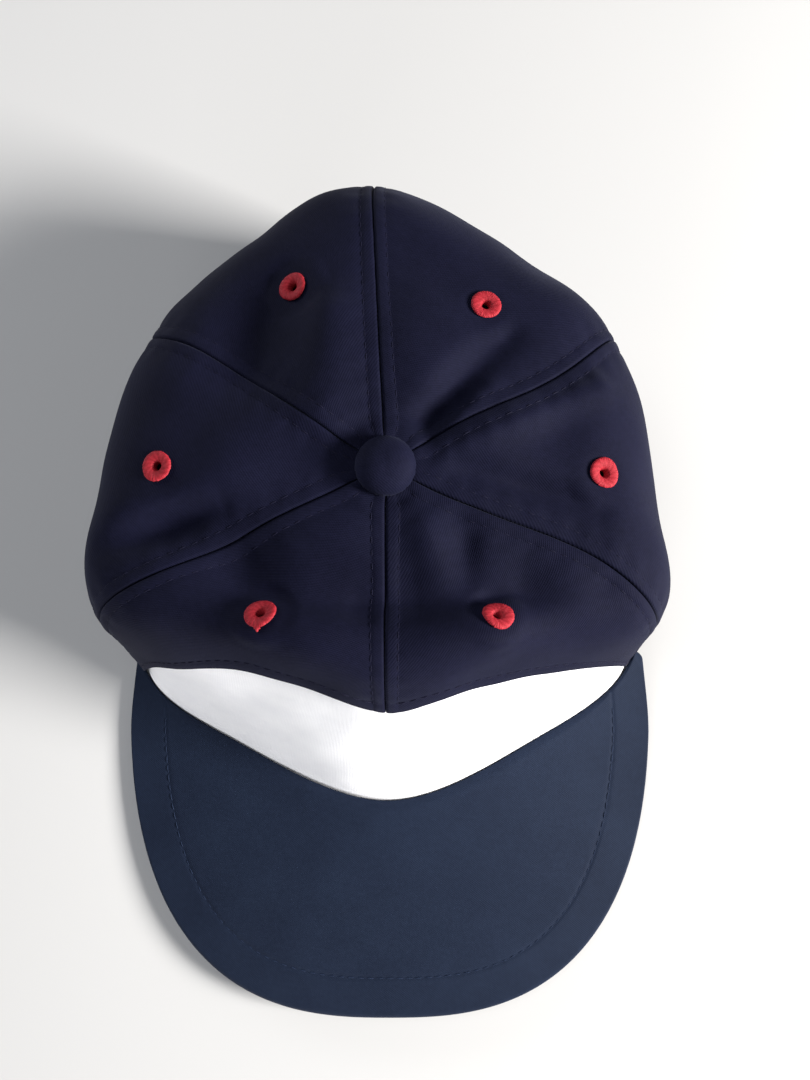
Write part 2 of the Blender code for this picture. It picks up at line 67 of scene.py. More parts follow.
# Seams of the crown
SEAM_GAP = 0.00004  # half the gap between two panels' edges
SEAM_ROLL = 0.0009  # radius over which a panel's edge turns down into the seam
SEAM_DRAW = 0.0006  # how far a seam draws in the cloth around it
SEAM_DRAW_REACH = 0.0085
ALLOWANCE = 0.00025  # extra height between a seam and its stitches
STITCH_REACH = 0.0038  # from a seam to the stitch rows beside it
STITCH_WIDTH_SHARE = 0.30  # or this share of the panel's width, if less
GROOVE_DEPTH = 0.00022  # of a stitch row's groove where the seam table says 1
HEM_GROOVE = 0.8 * GROOVE_DEPTH
RIM_GROOVE = 0.5 * GROOVE_DEPTH
GROOVE_REACH = 0.0014
HEM_WEAKENS = 0.6  # share of the seams' relief that is lost at the hem's edge
PUCKER = 0.00010  # height of the small ripples that the stitches draw up
PUCKER_LENGTH = 0.0072
NEEDLE_DIP = 0.10  # half the share by which a groove is less deep between its needle holes
ALLOWANCE_SLOPE = 0.001  # over which the allowance inside the crown runs out

# Stitches
STITCH_PITCH = 0.0032
STITCH_LENGTH = 0.0025
THREAD_RADIUS = 0.00013
THREAD_SPREAD = (0.88, 1.1)  # least and most thickness of a stitch, as shares
STITCH_ASKEW = 0.05  # spread of the stitches' directions
HEM_STITCH_UP = 0.0060  # from the navy hem's edge to its stitches
RIM_STITCH_UP = 0.0090  # from the rim to its stitches
ROW_FROM_BUTTON = 0.001  # from the button's edge to a seam's stitch rows
ROW_FROM_END = 0.002  # from those rows to the rim or the hem
HEM_ROW_END = 0.985  # how far round to each side the hem's stitch row reaches
RIM_ROW_ENDS = (1.02, 4.98)  # from where to where round the crown the rim's row runs

# Front band
BAND_TUCK = 0.008  # how far the band runs up behind the hem
BAND_END_GAP = 0.0002  # from the band's ends to the side seams
BAND_FORWARD = 0.004  # bare height at which its foot comes fully forward
BAND_PRESS = 0.0004  # how far the hem's edge presses the band in
BAND_PRESS_REACH = 0.0022
CLEARANCE = 0.0003  # gap between pieces that touch
FOOT_RISE = 0.05  # least rise of cloth over its foot, for each metre

# Peak
RIM_FACE = (0.96, 0.98, 1)  # down on the crown's face at the rim: its top, middle and foot
PEAK_LENGTH = 0.070  # rim to the peak's front edge at the middle
PEAK_SIDE_REACH = 0.0047  # from the rim's front corners to the peak's sides
PEAK_THICKNESS = 0.0030
PEAK_ARCH = 0.012  # height of the peak's underside at the middle of the rim
PEAK_FRONT_ARCH = 0.006  # the same at its front edge
PEAK_SQUARENESS = 2.7  # exponent of the outline: 2 is an ellipse, more is squarer
PEAK_TAPER = 0.02  # share of its width by which the peak narrows at its ears
PEAK_TAPER_REACH = 0.25  # share of its length over which it narrows
EAR_ROUNDING = 0.022  # share of its sizes by which an ear's corner is cut
PEAK_WRAP = 1.04  # around at which its foot ends
PEAK_STITCH_IN = 0.0130  # from the peak's edge to its stitch row
PEAK_STITCH_GROOVE = 0.00022
PEAK_GROOVE_REACH = 0.0006
PEAK_ROW_CLEAR = 0.003  # from the crown to the ends of that row
PEAK_SWELL = 0.00025  # height of the low swells on its top
PEAK_SWELL_LENGTHS = (0.021, 0.017)  # of one radian, along x and y
PEAK_SWELL_IN = 0.02  # from its edge, where the swells are at their full height
PEAK_SEAM_BEND = 0.22  # half the edge seam's width, in radians round the edge
EAR_LEAST = 0.015  # least share of the thickness at the ears' tips
PEAK_EDGE_SEAM = 0.00022  # depth of the seam along the peak's edge

# Button
BUTTON_WIDTH = 0.0165
BUTTON_DOME = 0.0062
BUTTON_SIDE = 0.18  # share of that height below its widest place
STEM_RADIUS = 0.0016
RIVET_RADIUS = 0.0036
RIVET_THICKNESS = 0.0010
RIVET_BEVEL = 0.0002
AXIS_HOLE = 0.0002  # radius at which a turned profile ends at the axis
BUTTON_PLEATS = 18
PLEAT_DEPTH = 0.012  # share of the button's reach
BUTTON_UNEVEN = 0.00012  # height of the dome's unevenness
# Foot of the button's profile: reach as a share of its radius, height as a share of the dome's
BUTTON_FOOT = ((1.0, 0.14), (0.992, 0.09), (0.975, 0.05), (0.95, 0.02), (0.91, 0), (0.2, 0))

# Embroidered eyelets
EYELET_WIDTH = 0.0086
EYELET_HOLE = 0.0030
EYELET_NECK = 0.0042  # across the thread that lines the hole in the cloth
EYELET_BACK_WIDTH = 0.0074
EYELET_THREAD = 0.0006  # height of the thread on the cloth
EYELET_REACH = 0.060  # along the cloth from the button's axis
EYELET_STIFF_REACH = 0.012
EYELET_STITCHES = 60  # radial stitches in one ring
EYELET_STITCH_STEPS = 8  # points across each of them
STITCH_RIDGE = 0.00005  # height of a radial stitch's ridge
STITCH_UV_STEP = 0.0031  # from one to the next on the UV map
LENGTH_SPREAD = 0.00003  # spread of their lengths
HEIGHT_SPREAD = 0.15  # and of their heights, as a share
SLANT = 0.10  # how far they slant round the ring, in radians, and its spread
SLANT_SPREAD = 0.05
EYELET_PULL = 0.0002  # how far the thread pulls the cloth in round it
EYELET_PULL_REACH = 0.18 * EYELET_WIDTH
# Slope of the cloth under the two front eyelets besides the folds': it tips them to the middle
EYELET_TILTS = {"eyelet_front_right": (0.06, -0.03), "eyelet_front_left": (-0.08, 0.0)}
LOOSE_EYELET = "eyelet_front_left"
LOOSE_AT = 0.15  # of a turn, where its loose thread sticks out
LOOSE_LENGTH = 0.0010
LOOSE_WIDTH = 1.1  # in stitches

# Ribs of the crown down each seam and panel's middle, as in the CAD model: directions in degrees,
# reaches and roundness as shares of CROWN_REACH, heights and swells as shares of CROWN_HEIGHT
ribs = table("name direction shoulder_reach shoulder_height roundness top_swell "
             "rim_direction rim_reach", (
    ("front_seam",         -90, 0.61, 1.13, 0.24, -0.01,  -90, 1.11),
    ("front_right_middle", -58, 0.62, 1.12, 0.16, -0.02,  -57, 1.05),
    ("front_right_seam",   -26, 0.98, 0.93, 0.28,  0.01,  -31, 1.12),
    ("side_right_middle",    1, 0.89, 0.92, 0.30,  0.02,   -1, 0.99),
    ("back_right_seam",     33, 0.95, 0.88, 0.30,  0.02,   32, 0.98),
    ("back_right_middle",   61, 0.94, 0.88, 0.30,  0.04,   60, 1.03),
    ("back_seam",           93, 1.13, 0.84, 0.32,  0.03,   90, 1.09),
    ("back_left_middle",   118, 1.04, 0.84, 0.34,  0.03,  120, 1.04),
    ("back_left_seam",     148, 0.99, 0.88, 0.30,  0.02,  148, 0.98),
    ("side_left_middle",   176, 0.965, 0.92, 0.30, 0.02,  181, 0.98),
    ("front_left_seam",    204, 1.035, 0.93, 0.28, 0.01,  211.5, 1.15),
    ("front_left_middle",  238, 0.63, 1.12, 0.16, -0.02,  237, 1.07),
))

# How far a seam bows sideways on the top, anticlockwise, as a share of CROWN_REACH; the share of
# its line at which the bow ends; and how far it leans to that end
SEAM_BOWS = {"front_right_seam": 0.044, "back_right_seam": -0.035, "back_left_seam": -0.030,
             "front_left_seam": 0.008}
BOW_END = 0.55
BOW_LEAN = 1.2

# Folds and dents as in the CAD model, along lines seen from above, as shares of CROWN_REACH: a
# height below 0 is a dent, and the taper is the share of it that is lost towards the line's ends
folds = table("name from_x from_y to_x to_y half_width height taper", (
    ("back_left_ridge",      -0.19,  0.20, -0.17,  0.50, 0.10,  0.046, 0.0),
    ("back_left_hollow",     -0.44,  0.34, -0.42,  0.60, 0.13, -0.046, 0.0),
    ("back_right_valley",     0.07,  0.10,  0.38,  0.44, 0.06, -0.052, 0.5),
    ("back_right_pleat",      0.16,  0.11,  0.33,  0.26, 0.03,  0.014, 0.5),
    ("side_right_ridge",      0.16,  0.04,  0.67,  0.28, 0.06,  0.040, 0.3),
    ("side_right_valley",     0.18,  0.01,  0.66, -0.11, 0.05, -0.036, 0.6),
    ("side_left_swell",      -0.56,  0.10, -0.52,  0.22, 0.20,  0.020, 0.0),
    ("side_left_valley",     -0.52, -0.12, -0.88, -0.23, 0.055, -0.054, 0.6),
    ("side_left_ridge",      -0.50, -0.04, -0.84, -0.12, 0.06,  0.012, 0.5),
    ("front_right_ridge",     0.11, -0.16,  0.15, -0.29, 0.055, 0.022, 0.4),
    ("front_right_hollow",    0.24, -0.17,  0.25, -0.28, 0.050, -0.026, 0.4),
    ("front_right_pocket",    0.50, -0.42,  0.66, -0.38, 0.08, -0.022, 0.0),
    ("front_left_trough",    -0.44, -0.35, -0.10, -0.39, 0.12, -0.092, 0.0),
    ("front_right_trough",    0.42, -0.36,  0.10, -0.38, 0.12, -0.092, 0.0),
    ("front_left_swell",     -0.74, -0.42, -0.56, -0.38, 0.12,  0.014, 0.0),
))

# Low waves: how many to CROWN_REACH along each axis, the start as a share of one, and the height
waves = table("along_x along_y along_z start height", (
    ( 1.3,  0.9,  0.7, 0.10, 0.00030),
    (-1.1,  1.8, -0.9, 0.55, 0.00026),
    ( 2.6, -1.2,  1.3, 0.30, 0.00018),
    ( 1.7,  3.1, -1.6, 0.80, 0.00013),
    (-3.7,  2.2,  2.4, 0.15, 0.00009),
    ( 4.9,  3.4, -1.1, 0.65, 0.00006),
))

# Navy hem over the white band, at equal steps from the left side seam over the front seam to the
# right one, as shares of the way from the button to the rim
HEM_DOWN = (0.98, 0.70, 0.55, 0.51, 0.50, 0.52, 0.505, 0.535, 0.595, 0.70, 0.98)

# Seams from the front one, and the depth of the grooves before and after each, anticlockwise
seams = table("name groove_before groove_after", (
    ("front_seam",       0.55, 0.40),
    ("front_right_seam", 0.45, 0.40),
    ("back_right_seam",  1.00, 0.60),
    ("back_seam",        0.45, 1.00),
    ("back_left_seam",   0.90, 0.55),
    ("front_left_seam",  0.40, 0.70),
))

# Panels from the front seam and their eyelets: the place across the panel, from 0 to 1, and the
# distance from the button as a share of EYELET_REACH
panels = table("place eyelet across reach", (
    ("front_right", "eyelet_front_right", 0.575, 0.898),
    ("side_right",  "eyelet_right",       0.475, 1.034),
    ("back_right",  "eyelet_back_right",  0.480, 0.966),
    ("back_left",   "eyelet_back_left",   0.463, 1.044),
    ("side_left",   "eyelet_left",        0.550, 1.039),
    ("front_left",  "eyelet_front_left",  0.374, 0.898),
))

# Fineness of the meshes
RIB_STEPS = 240
SLOPE_STEP = 0.001  # to each side, where a fold's slope is measured
NORMAL_STEP = 0.002  # in around and down to each side, where a normal is measured
RING_STEP = 0.004  # the same for an eyelet's run round and down the crown
PANEL_ROW_STEP = 0.0008  # along the cloth between a panel's rows of points
PANEL_MIDDLE_FACES = 46
FRONT_PANEL_END = 0.55  # share of the way down for which a front panel's rows are spaced
BAND_ROWS = 60
BAND_COLUMNS = 181
PEAK_COLUMNS = 361
PEAK_EDGE_ROWS = 44
PEAK_EDGE_REACH = 0.019  # where the peak's rows are closer together, from its edge
PEAK_MIDDLE_ROWS = 26
BUTTON_COLUMNS = 144
BUTTON_DOME_ROWS = 30
PEAK_ROUND_ROWS = 13
SHANK_COLUMNS = 32
FINE_ROW = 800  # places on a line across the front panels, where a row's length is measured
FINE_PEAK = 4001  # the same along the peak

# Distances from a seam at which a wide panel has a column of points
NEAR_SEAM = np.array([0.00, 0.12, 0.26, 0.42, 0.60, 0.80, 1.05, 1.4, 1.8, 2.3, 2.7, 3.0, 3.3,
                      3.55, 3.8, 4.05, 4.3, 4.6, 5.0, 5.5, 6.1, 6.8]) / 1000
NEAR_SEAM_SHARE = 0.42  # most of a panel's width that they take up on each side

# Distances from a rolled edge at which it has a row of points, as shares of its radius
ROLLED_ROWS = np.array([1, 0.8, 0.6, 0.42, 0.26, 0.14, 0.06, 0.015, 0])

# Lights: name, place, width, watts and colour
LIGHT_ROWS = (
    ("key_light",   (1.31, -0.26, 0.66), 0.45, 60, (1.00, 0.98, 0.95)),
    ("fill_light", (-0.50, -1.55, 0.24), 0.70, 17, (0.97, 0.98, 1.00)),
    ("top_light",  (-0.30,  0.30, 1.40), 0.80,  5, (0.90, 0.94, 1.00)),
    ("back_light", (-1.30,  1.05, 0.32), 0.90, 15, (0.92, 0.95, 1.00)),
)
WORLD_COLOUR = (0.9, 0.93, 1.0, 1)
WORLD_STRENGTH = 0.06
SHEEN_ROUGHNESS = 0.45  # of every cloth and thread

# Camera: place over the button's axis, tilt from straight down, and lens
CAMERA_FROM_AXIS = (0.00528, -0.05507, 0.338)
CAMERA_TILT = radians(8)
CAMERA_LENS = 31.5
CAMERA_SENSOR = 36
CAMERA_ASPECT = 810 / 1080  # width by height
FLOOR_WIDTH = 8
FLOOR_UNDER = 0.0003  # from the rim down to the floor

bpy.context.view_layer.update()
button_low, button_high = (np.array(corner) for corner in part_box("button"))
AXIS = np.append(((button_low + button_high) / 2)[:2], 0)


# Curves and steps

def ease(x):
    """0 below 0, 1 above 1 and a smooth step between."""
    x = np.clip(x, 0, 1)
    return x * x * (3 - 2 * x)


def bell(x):
    """1 at 0, falling smoothly to nearly 0 at 2."""
    return np.exp(-x * x)


def rolled_edge(distance, radius):
    """How far cloth lies below its flat where its edge turns down in a quarter circle."""
    inside = np.clip(radius - distance, 0, radius)
    return radius - np.sqrt(radius * radius - inside * inside)


def smooth_step_between(before, start, end, after, t):
    """Cubic from start to end whose slope at each is half its neighbours' step."""
    slope_in = (end - before) / 2
    slope_out = (after - start) / 2
    cubic = 2 * start - 2 * end + slope_in + slope_out
    square = 3 * end - 3 * start - 2 * slope_in - slope_out
    return ((cubic * t + square) * t + slope_in) * t + start


def unit(vectors):
    return vectors / np.linalg.norm(vectors, axis=-1, keepdims=True)


def on_plan(direction, reach):
    """Place seen from above, at a reach from the button's axis."""
    angle = radians(direction)
    return np.array([reach * cos(angle), reach * sin(angle)])


def length_along(line):
    """Length from a line's first point to each of its points."""
    return np.append(0, np.cumsum(np.linalg.norm(np.diff(line, axis=0), axis=1)))


def points_along(line, wanted):
    """Places at the wanted lengths along a line."""
    length = length_along(line)
    return np.stack([np.interp(wanted, length, part) for part in line.T], axis=-1)


CORNER_REACH = max(abs(on_plan(rib["rim_direction"], rib["rim_reach"] * CROWN_REACH)[0])
                   for rib in ribs if rib["name"] in ("front_left_seam", "front_right_seam"))
PEAK_HALF_WIDTH = CORNER_REACH + PEAK_SIDE_REACH


def arch_height(x, crest):
    """Height of the peak's underside: a parabola that is 0 at its sides."""
    return crest * (1 - (x / PEAK_HALF_WIDTH) ** 2)


# The crown's surface, round the button's axis

def rib_line(rib):
    """Equally spaced points down a rib from the seat: a line, a parabola round the shoulder and a
    line to the rim, with a seam's sideways bow on the top."""
    seat = np.append(on_plan(rib["direction"], SEAT_REACH), CROWN_HEIGHT)
    shoulder = np.append(on_plan(rib["direction"], rib["shoulder_reach"] * CROWN_REACH),
                         rib["shoulder_height"] * CROWN_HEIGHT)
    rim = np.append(on_plan(rib["rim_direction"], rib["rim_reach"] * CROWN_REACH), 0)
    if rib["name"] in ("front_seam", "front_right_middle", "front_left_middle"):
        rim[2] = arch_height(rim[0], PEAK_ARCH)
    rounding = rib["roundness"] * CROWN_REACH
    turn_start = shoulder - rounding * unit(shoulder - seat)
    turn_end = shoulder + rounding * unit(rim - shoulder)
    t = np.linspace(0, 1, RIB_STEPS)[:, None]
    top = seat + (turn_start - seat) * t
    top[:, 2] += rib["top_swell"] * CROWN_HEIGHT * np.sin(pi * t[:, 0]) ** 2
    turn = (1 - t) ** 2 * turn_start + 2 * t * (1 - t) * shoulder + t ** 2 * turn_end
    wall = turn_end + (rim - turn_end) * t
    line = np.vstack([top, turn[1:], wall[1:]])
    wanted = np.linspace(0, length_along(line)[-1], RIB_STEPS + 1)
    points = points_along(line, wanted)
    bow = SEAM_BOWS.get(rib["name"], 0) * CROWN_REACH
    along = np.clip(wanted / wanted[-1] / BOW_END, 0, 1)[:, None] ** BOW_LEAN
    points[:, :2] += on_plan(rib["direction"] + 90, bow) * np.sin(pi * along) ** 2
    return points, wanted[-1]


rib_lines = [rib_line(rib) for rib in ribs]
rib_points = np.stack([points for points, length in rib_lines])
RIB_LENGTH = SEAT_REACH + sum(length for points, length in rib_lines) / len(ribs)
SEAT_SHARE = SEAT_REACH / RIB_LENGTH


def smooth_crown(around, down):
    """The crown before its folds: smooth closed curves through the ribs' points at the same share
    of the way down, round a flat seat."""
    share = np.clip((down - SEAT_SHARE) / (1 - SEAT_SHARE), 0, 1) * RIB_STEPS
    index = np.minimum(share.astype(int), RIB_STEPS - 1)
    part = (share - index)[..., None]
    place = 2 * around
    rib = np.floor(place).astype(int)
    near = [rib_points[number, index] * (1 - part) + rib_points[number, index + 1] * part
            for number in ((rib + step) % len(ribs) for step in (-1, 0, 1, 2))]
    points = smooth_step_between(*near, (place - rib)[..., None])
    points[..., 2] = np.maximum(points[..., 2], 0)
    middle = np.array([0, 0, CROWN_HEIGHT])
    return middle + (points - middle) * np.clip(down / SEAT_SHARE, 0, 1)[..., None]


def surface_steps(surface, around, down, step):
    """Differences across a step each way, round a surface and down it."""
    across = surface(around + step, down) - surface(around - step, down)
    along = surface(around, np.minimum(down + step, 1)) - surface(around, down - step)
    return across, along


def surface_normals(surface, around, down):
    """Outward unit normals, from the differences across a small step."""
    across, along = surface_steps(surface, around, down, NORMAL_STEP)
    return unit(np.cross(along, across))


eyelet_places = [(np.array(seam + panel["across"]), np.array(panel["reach"] * EYELET_REACH / RIB_LENGTH))
                 for seam, panel in enumerate(panels)]
eyelet_centres = [smooth_crown(*place) for place in eyelet_places]


def sum_of_folds(places):
    """Sum of the folds seen from above: a bell across each one's line and round its ends."""
    height = np.zeros(places.shape[:-1])
    for fold in folds:
        start, end = (CROWN_REACH * np.array([fold[name + "x"], fold[name + "y"]])
                      for name in ("from_", "to_"))
        run = end - start
        away = places - start
        share = np.clip(away @ run / (run @ run), 0, 1)
        distance = np.linalg.norm(away - share[..., None] * run, axis=-1)
        tapered = fold["height"] * CROWN_REACH * (1 - fold["taper"] * (1 - np.sin(pi * share)))
        height += tapered * bell(distance / (fold["half_width"] * CROWN_REACH))
    return height


def fold_height(points):
    """The folds, but flat round each eyelet, whose stiff thread keeps the cloth in the plane that
    touches them at its centre."""
    height = sum_of_folds(points[..., :2])
    step = SLOPE_STEP * np.eye(2)
    for centre, panel in zip(eyelet_centres, panels):
        place = centre[:2]
        slope = (sum_of_folds(place + step) - sum_of_folds(place - step)) / (2 * SLOPE_STEP)
        slope += EYELET_TILTS.get(panel["eyelet"], (0, 0))
        plane = sum_of_folds(place) + (points[..., :2] - place) @ slope
        distance = np.linalg.norm(points - centre, axis=-1)
        height += (plane - height) * (1 - ease(2 * distance / EYELET_STIFF_REACH - 1))
    return height


def wave_height(points):
    """Sum of the low waves: a sine along each one's direction."""
    height = np.zeros(points.shape[:-1])
    for wave in waves:
        turns = points @ np.array([wave["along_x"], wave["along_y"], wave["along_z"]]) / CROWN_REACH
        height += wave["height"] * np.sin(2 * pi * (turns + wave["start"]))
    return height


def panel_width(around, down):
    """Distance between a panel's two seams at a share of the way down."""
    seam = np.floor(around)
    return np.linalg.norm(smooth_crown(seam + 1, down) - smooth_crown(seam, down), axis=-1)


def folded_crown(around, down):
    """The smooth crown moved along its normals by its folds, waves and drawn-in seams. The folds
    fade out on steep walls, and everything at the seat and the rim."""
    points = smooth_crown(around, down)
    normals = surface_normals(smooth_crown, around, down)
    past_seat = ease((down - SEAT_SHARE) / SEAT_SHARE)
    above_rim = ease((1 - down) * RIB_LENGTH / RIM_TURN)
    on_top = ease(2 * normals[..., 2] - 0.5)
    width = panel_width(around, down)
    from_seam = np.abs(around - np.round(around)) * width
    drawn = SEAM_DRAW * bell(from_seam / np.minimum(SEAM_DRAW_REACH, width / 3))
    height = past_seat * above_rim * (on_top * fold_height(points) + wave_height(points) - drawn)
    return points + normals * height[..., None]


def crown_normals(around, down):
    return surface_normals(folded_crown, around, down)


def hem_down(around):
    """How far down the navy hem lies, for around on the front panels."""
    last = len(HEM_DOWN) - 1
    place = (around + 1) % len(panels) / 2 * last
    index = np.minimum(np.floor(place), last - 1).astype(int)
    near = [np.array(HEM_DOWN)[np.clip(index + step, 0, last)] for step in (-1, 0, 1, 2)]
    return smooth_step_between(*near, place - index)


# Relief of the sewn cloth

def stitch_reach(width):
    """From a seam to its stitch rows, less where the panels are narrow."""
    return np.minimum(STITCH_REACH, STITCH_WIDTH_SHARE * width)


def seam_relief(from_seam, width, run, groove):
    """Height beside a seam: its rolled edge, the raised allowance, the stitch row's groove with a
    dip at each needle hole, and small ripples."""
    reach = stitch_reach(width)
    narrow = reach / STITCH_REACH
    edge = -rolled_edge(from_seam, SEAM_ROLL * narrow)
    allowance = ALLOWANCE * (1 - np.abs(np.clip(2 * from_seam / reach - 1, -1, 1)) ** 3)
    beside_row = (from_seam - reach) / (GROOVE_REACH * narrow)
    holes = 1 - NEEDLE_DIP + NEEDLE_DIP * np.cos(2 * pi * run / STITCH_PITCH)
    row = -GROOVE_DEPTH * narrow * groove * bell(beside_row) * holes
    wander = 5 * groove + 1.5 * np.sin(run / (3 * PUCKER_LENGTH))
    ripple = np.sin(2 * pi * run / PUCKER_LENGTH + wander)
    pucker = PUCKER * narrow * ripple * bell((from_seam - 1.3 * reach) / reach)
    return edge + allowance + row + pucker


# Meshes

def piece_from_mesh(mesh, material, sharp_angle=50):
    """A piece that rides on the cap, smooth but for edges over sharp_angle."""
    mesh.materials.append(material)
    mesh.shade_smooth()
    mesh.set_sharp_from_angle(angle=radians(sharp_angle))
    piece = bpy.data.objects.new(mesh.name, mesh)
    bpy.context.scene.collection.objects.link(piece)
    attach(piece, "root")
    return piece


def mesh_from_arrays(name, points, faces, uv):
    """Mesh of quads with a UV map in metres along the cloth."""
    mesh = bpy.data.meshes.new(name)
    mesh.from_pydata(points.reshape(-1, 3) + AXIS, [], faces.reshape(-1, 4))
    mesh.update()
    corners = uv.reshape(-1, 2)[faces.ravel()]
    mesh.uv_layers.new(name="cloth").data.foreach_set("uv", corners.astype(np.float32).ravel())
    return mesh


def close_ends(mesh):
    """Fills a mesh's open ends and turns every face outwards."""
    working = bmesh.new()
    working.from_mesh(mesh)
    open_edges = [edge for edge in working.edges if edge.is_boundary]
    bmesh.ops.holes_fill(working, edges=open_edges, sides=0)
    bmesh.ops.recalc_face_normals(working, faces=working.faces)
    working.to_mesh(mesh)
    working.free()
    return mesh


def grid_faces(index):
    """Quads between the neighbours in a grid of point numbers."""
    return np.stack([index[:-1, :-1], index[1:, :-1], index[1:, 1:], index[:-1, 1:]], axis=-1)


def point_numbers(points):
    """Numbers of a grid's points, row by row."""
    rows, columns = points.shape[:2]
    return np.arange(rows * columns).reshape(rows, columns)


def wall_between(name, outer, inner, uv, kept=slice(None)):
    """Closed wall between two sheets of points, without the faces that aren't kept: an edge of one
    face only is joined to the same edge of the other sheet."""
    index = point_numbers(outer)
    front = grid_faces(index)[kept].reshape(-1, 4)
    start, end = front.ravel(), np.roll(front, -1, axis=1).ravel()
    alone = ~np.isin(start * index.size + end, end * index.size + start)
    start, end = start[alone], end[alone]
    sides = np.stack([start, start + index.size, end + index.size, end], axis=-1)
    faces = np.concatenate([front, front[:, ::-1] + index.size, sides])
    used, numbers = np.unique(faces, return_inverse=True)
    points, uvs = np.stack([outer, inner]).reshape(-1, 3), np.stack([uv, uv]).reshape(-1, 2)
    return mesh_from_arrays(name, points[used], numbers.reshape(faces.shape), uvs[used])


def looped_faces(points, both_ways=False):
    """Quads of a grid whose last row joins its first, as its columns do if both_ways."""
    return grid_faces(np.pad(point_numbers(points), ((0, 1), (0, int(both_ways))), mode="wrap"))


def turned_mesh(name, reach, height, turn):
    """Closed form of a profile carried round the button's axis."""
    points = np.stack(np.broadcast_arrays(reach * np.cos(turn), reach * np.sin(turn), height), axis=-1)
    return close_ends(mesh_from_arrays(name, points, looped_faces(points), points[..., :2]))


def tube_mesh(name, lines, radius, ahead, up):
    """Closed six-sided tubes along short lines of points, each with its radius. ahead and up are
    each line's own direction and the one away from the cloth."""
    count, steps = lines.shape[:2]
    angle = np.arange(6)[:, None] * (pi / 3)
    side = np.cross(up, ahead)
    around = np.cos(angle) * side[:, None, None] + np.sin(angle) * up[:, None, None]
    points = lines[:, :, None] + around * radius[:, :, None, None]
    index = np.arange(steps * 6).reshape(steps, 6)
    walls = grid_faces(np.pad(index, ((0, 0), (0, 1)), mode="wrap"))[..., [0, 3, 2, 1]]
    first, last = index[0], index[-1]
    tube = np.vstack([walls.reshape(-1, 4), first[[3, 2, 1, 0]], first[[5, 4, 3, 0]],
                      last[[0, 1, 2, 3]], last[[0, 3, 4, 5]]])
    faces = tube + index.size * np.arange(count)[:, None, None]
    along = np.linspace(0, 1, steps)[:, None] + np.arange(count)[:, None, None]
    uv = np.stack(np.broadcast_arrays(along, np.arange(6) / 6), axis=-1)
    return mesh_from_arrays(name, points, faces, uv)


def row_of_stitches(surface_place, surface_normal, steps):
    """Centres, directions and normals of stitches at the given steps along a row."""
    ahead = unit(surface_place(steps + 0.25) - surface_place(steps - 0.25))
    up = surface_normal(steps)
    up = unit(up - ahead * (up * ahead).sum(axis=-1, keepdims=True))
    return surface_place(steps), ahead, up


def stitching_piece(name, rows, material, seed):
    """One piece of all the stitches in some rows. Each rises out of a needle hole, lies on the
    cloth and goes down into the next, a little askew."""
    wander = np.random.default_rng(seed)
    centres, ahead, up = (np.concatenate(part) for part in zip(*rows))
    askew = wander.normal(0, STITCH_ASKEW, len(centres))[:, None]
    ahead = unit(ahead + np.cross(up, ahead) * askew)
    t = np.linspace(-1, 1, 5)[:, None]
    lift = THREAD_RADIUS * (0.55 - 2.2 * t ** 4)
    lines = centres[:, None] + ahead[:, None] * (t * STITCH_LENGTH / 2) + up[:, None] * lift
    thick = wander.uniform(*THREAD_SPREAD, (len(centres), 1))
    radius = THREAD_RADIUS * thick * (1 - 0.35 * t[:, 0] ** 4)
    piece_from_mesh(tube_mesh(name, lines, radius, ahead, up), material)


# Materials

def new_material(name, roughness, sheen, sheen_tint, specular, metallic=0):
    """A material with its shader's own constants, its node tree and its shader."""
    material = bpy.data.materials.new(name)
    material.use_nodes = True
    shader = material.node_tree.nodes["Principled BSDF"]
    shader.inputs["Roughness"].default_value = roughness
    shader.inputs["Metallic"].default_value = metallic
    shader.inputs["Specular IOR Level"].default_value = specular
    shader.inputs["Sheen Weight"].default_value = sheen
    shader.inputs["Sheen Roughness"].default_value = SHEEN_ROUGHNESS
    shader.inputs["Sheen Tint"].default_value = (*sheen_tint, 1)
    return material, material.node_tree, shader


def add_node(tree, kind, inputs, **settings):
    """A node with its settings and its inputs, linked where a value is a socket."""
    node = tree.nodes.new("ShaderNode" + kind)
    for name, value in settings.items():
        setattr(node, name, value)
    for name, value in inputs.items():
        if isinstance(value, bpy.types.NodeSocket):
            tree.links.new(value, node.inputs[name])
        else:
            node.inputs[name].default_value = value
    return node


def band_waves(tree, pitch, degrees, distortion):
    """Soft bands on the UV map, a pitch in metres apart and turned by an angle. At scale 1 the
    texture's bands are 2 pi / 20 apart."""
    cloth = add_node(tree, "UVMap", {}, uv_map="cloth").outputs["UV"]
    turned = add_node(tree, "Mapping", {"Vector": cloth, "Rotation": (0, 0, radians(degrees))})
    inputs = {"Vector": turned.outputs["Vector"], "Scale": 2 * pi / 20 / pitch,
              "Distortion": distortion, "Detail": 2, "Detail Scale": 1.5}
    return add_node(tree, "TexWave", inputs).outputs["Fac"]


def mottle(tree, size, detail):
    """Noise on Object coordinates, with clouds of about a size in metres."""
    place = add_node(tree, "TexCoord", {}).outputs["Object"]
    inputs = {"Vector": place, "Scale": 1 / size, "Detail": detail, "Roughness": 0.55}
    return add_node(tree, "TexNoise", inputs).outputs["Fac"]


def combined(tree, operation, first, second):
    """Result of an operation on two sockets or numbers."""
    return add_node(tree, "Math", {0: first, 1: second}, operation=operation).outputs["Value"]


def weighted(tree, first, share, second):
    """A share of the first socket and the rest of the second."""
    return combined(tree, "ADD", combined(tree, "MULTIPLY", first, share),
                    combined(tree, "MULTIPLY", second, 1 - share))


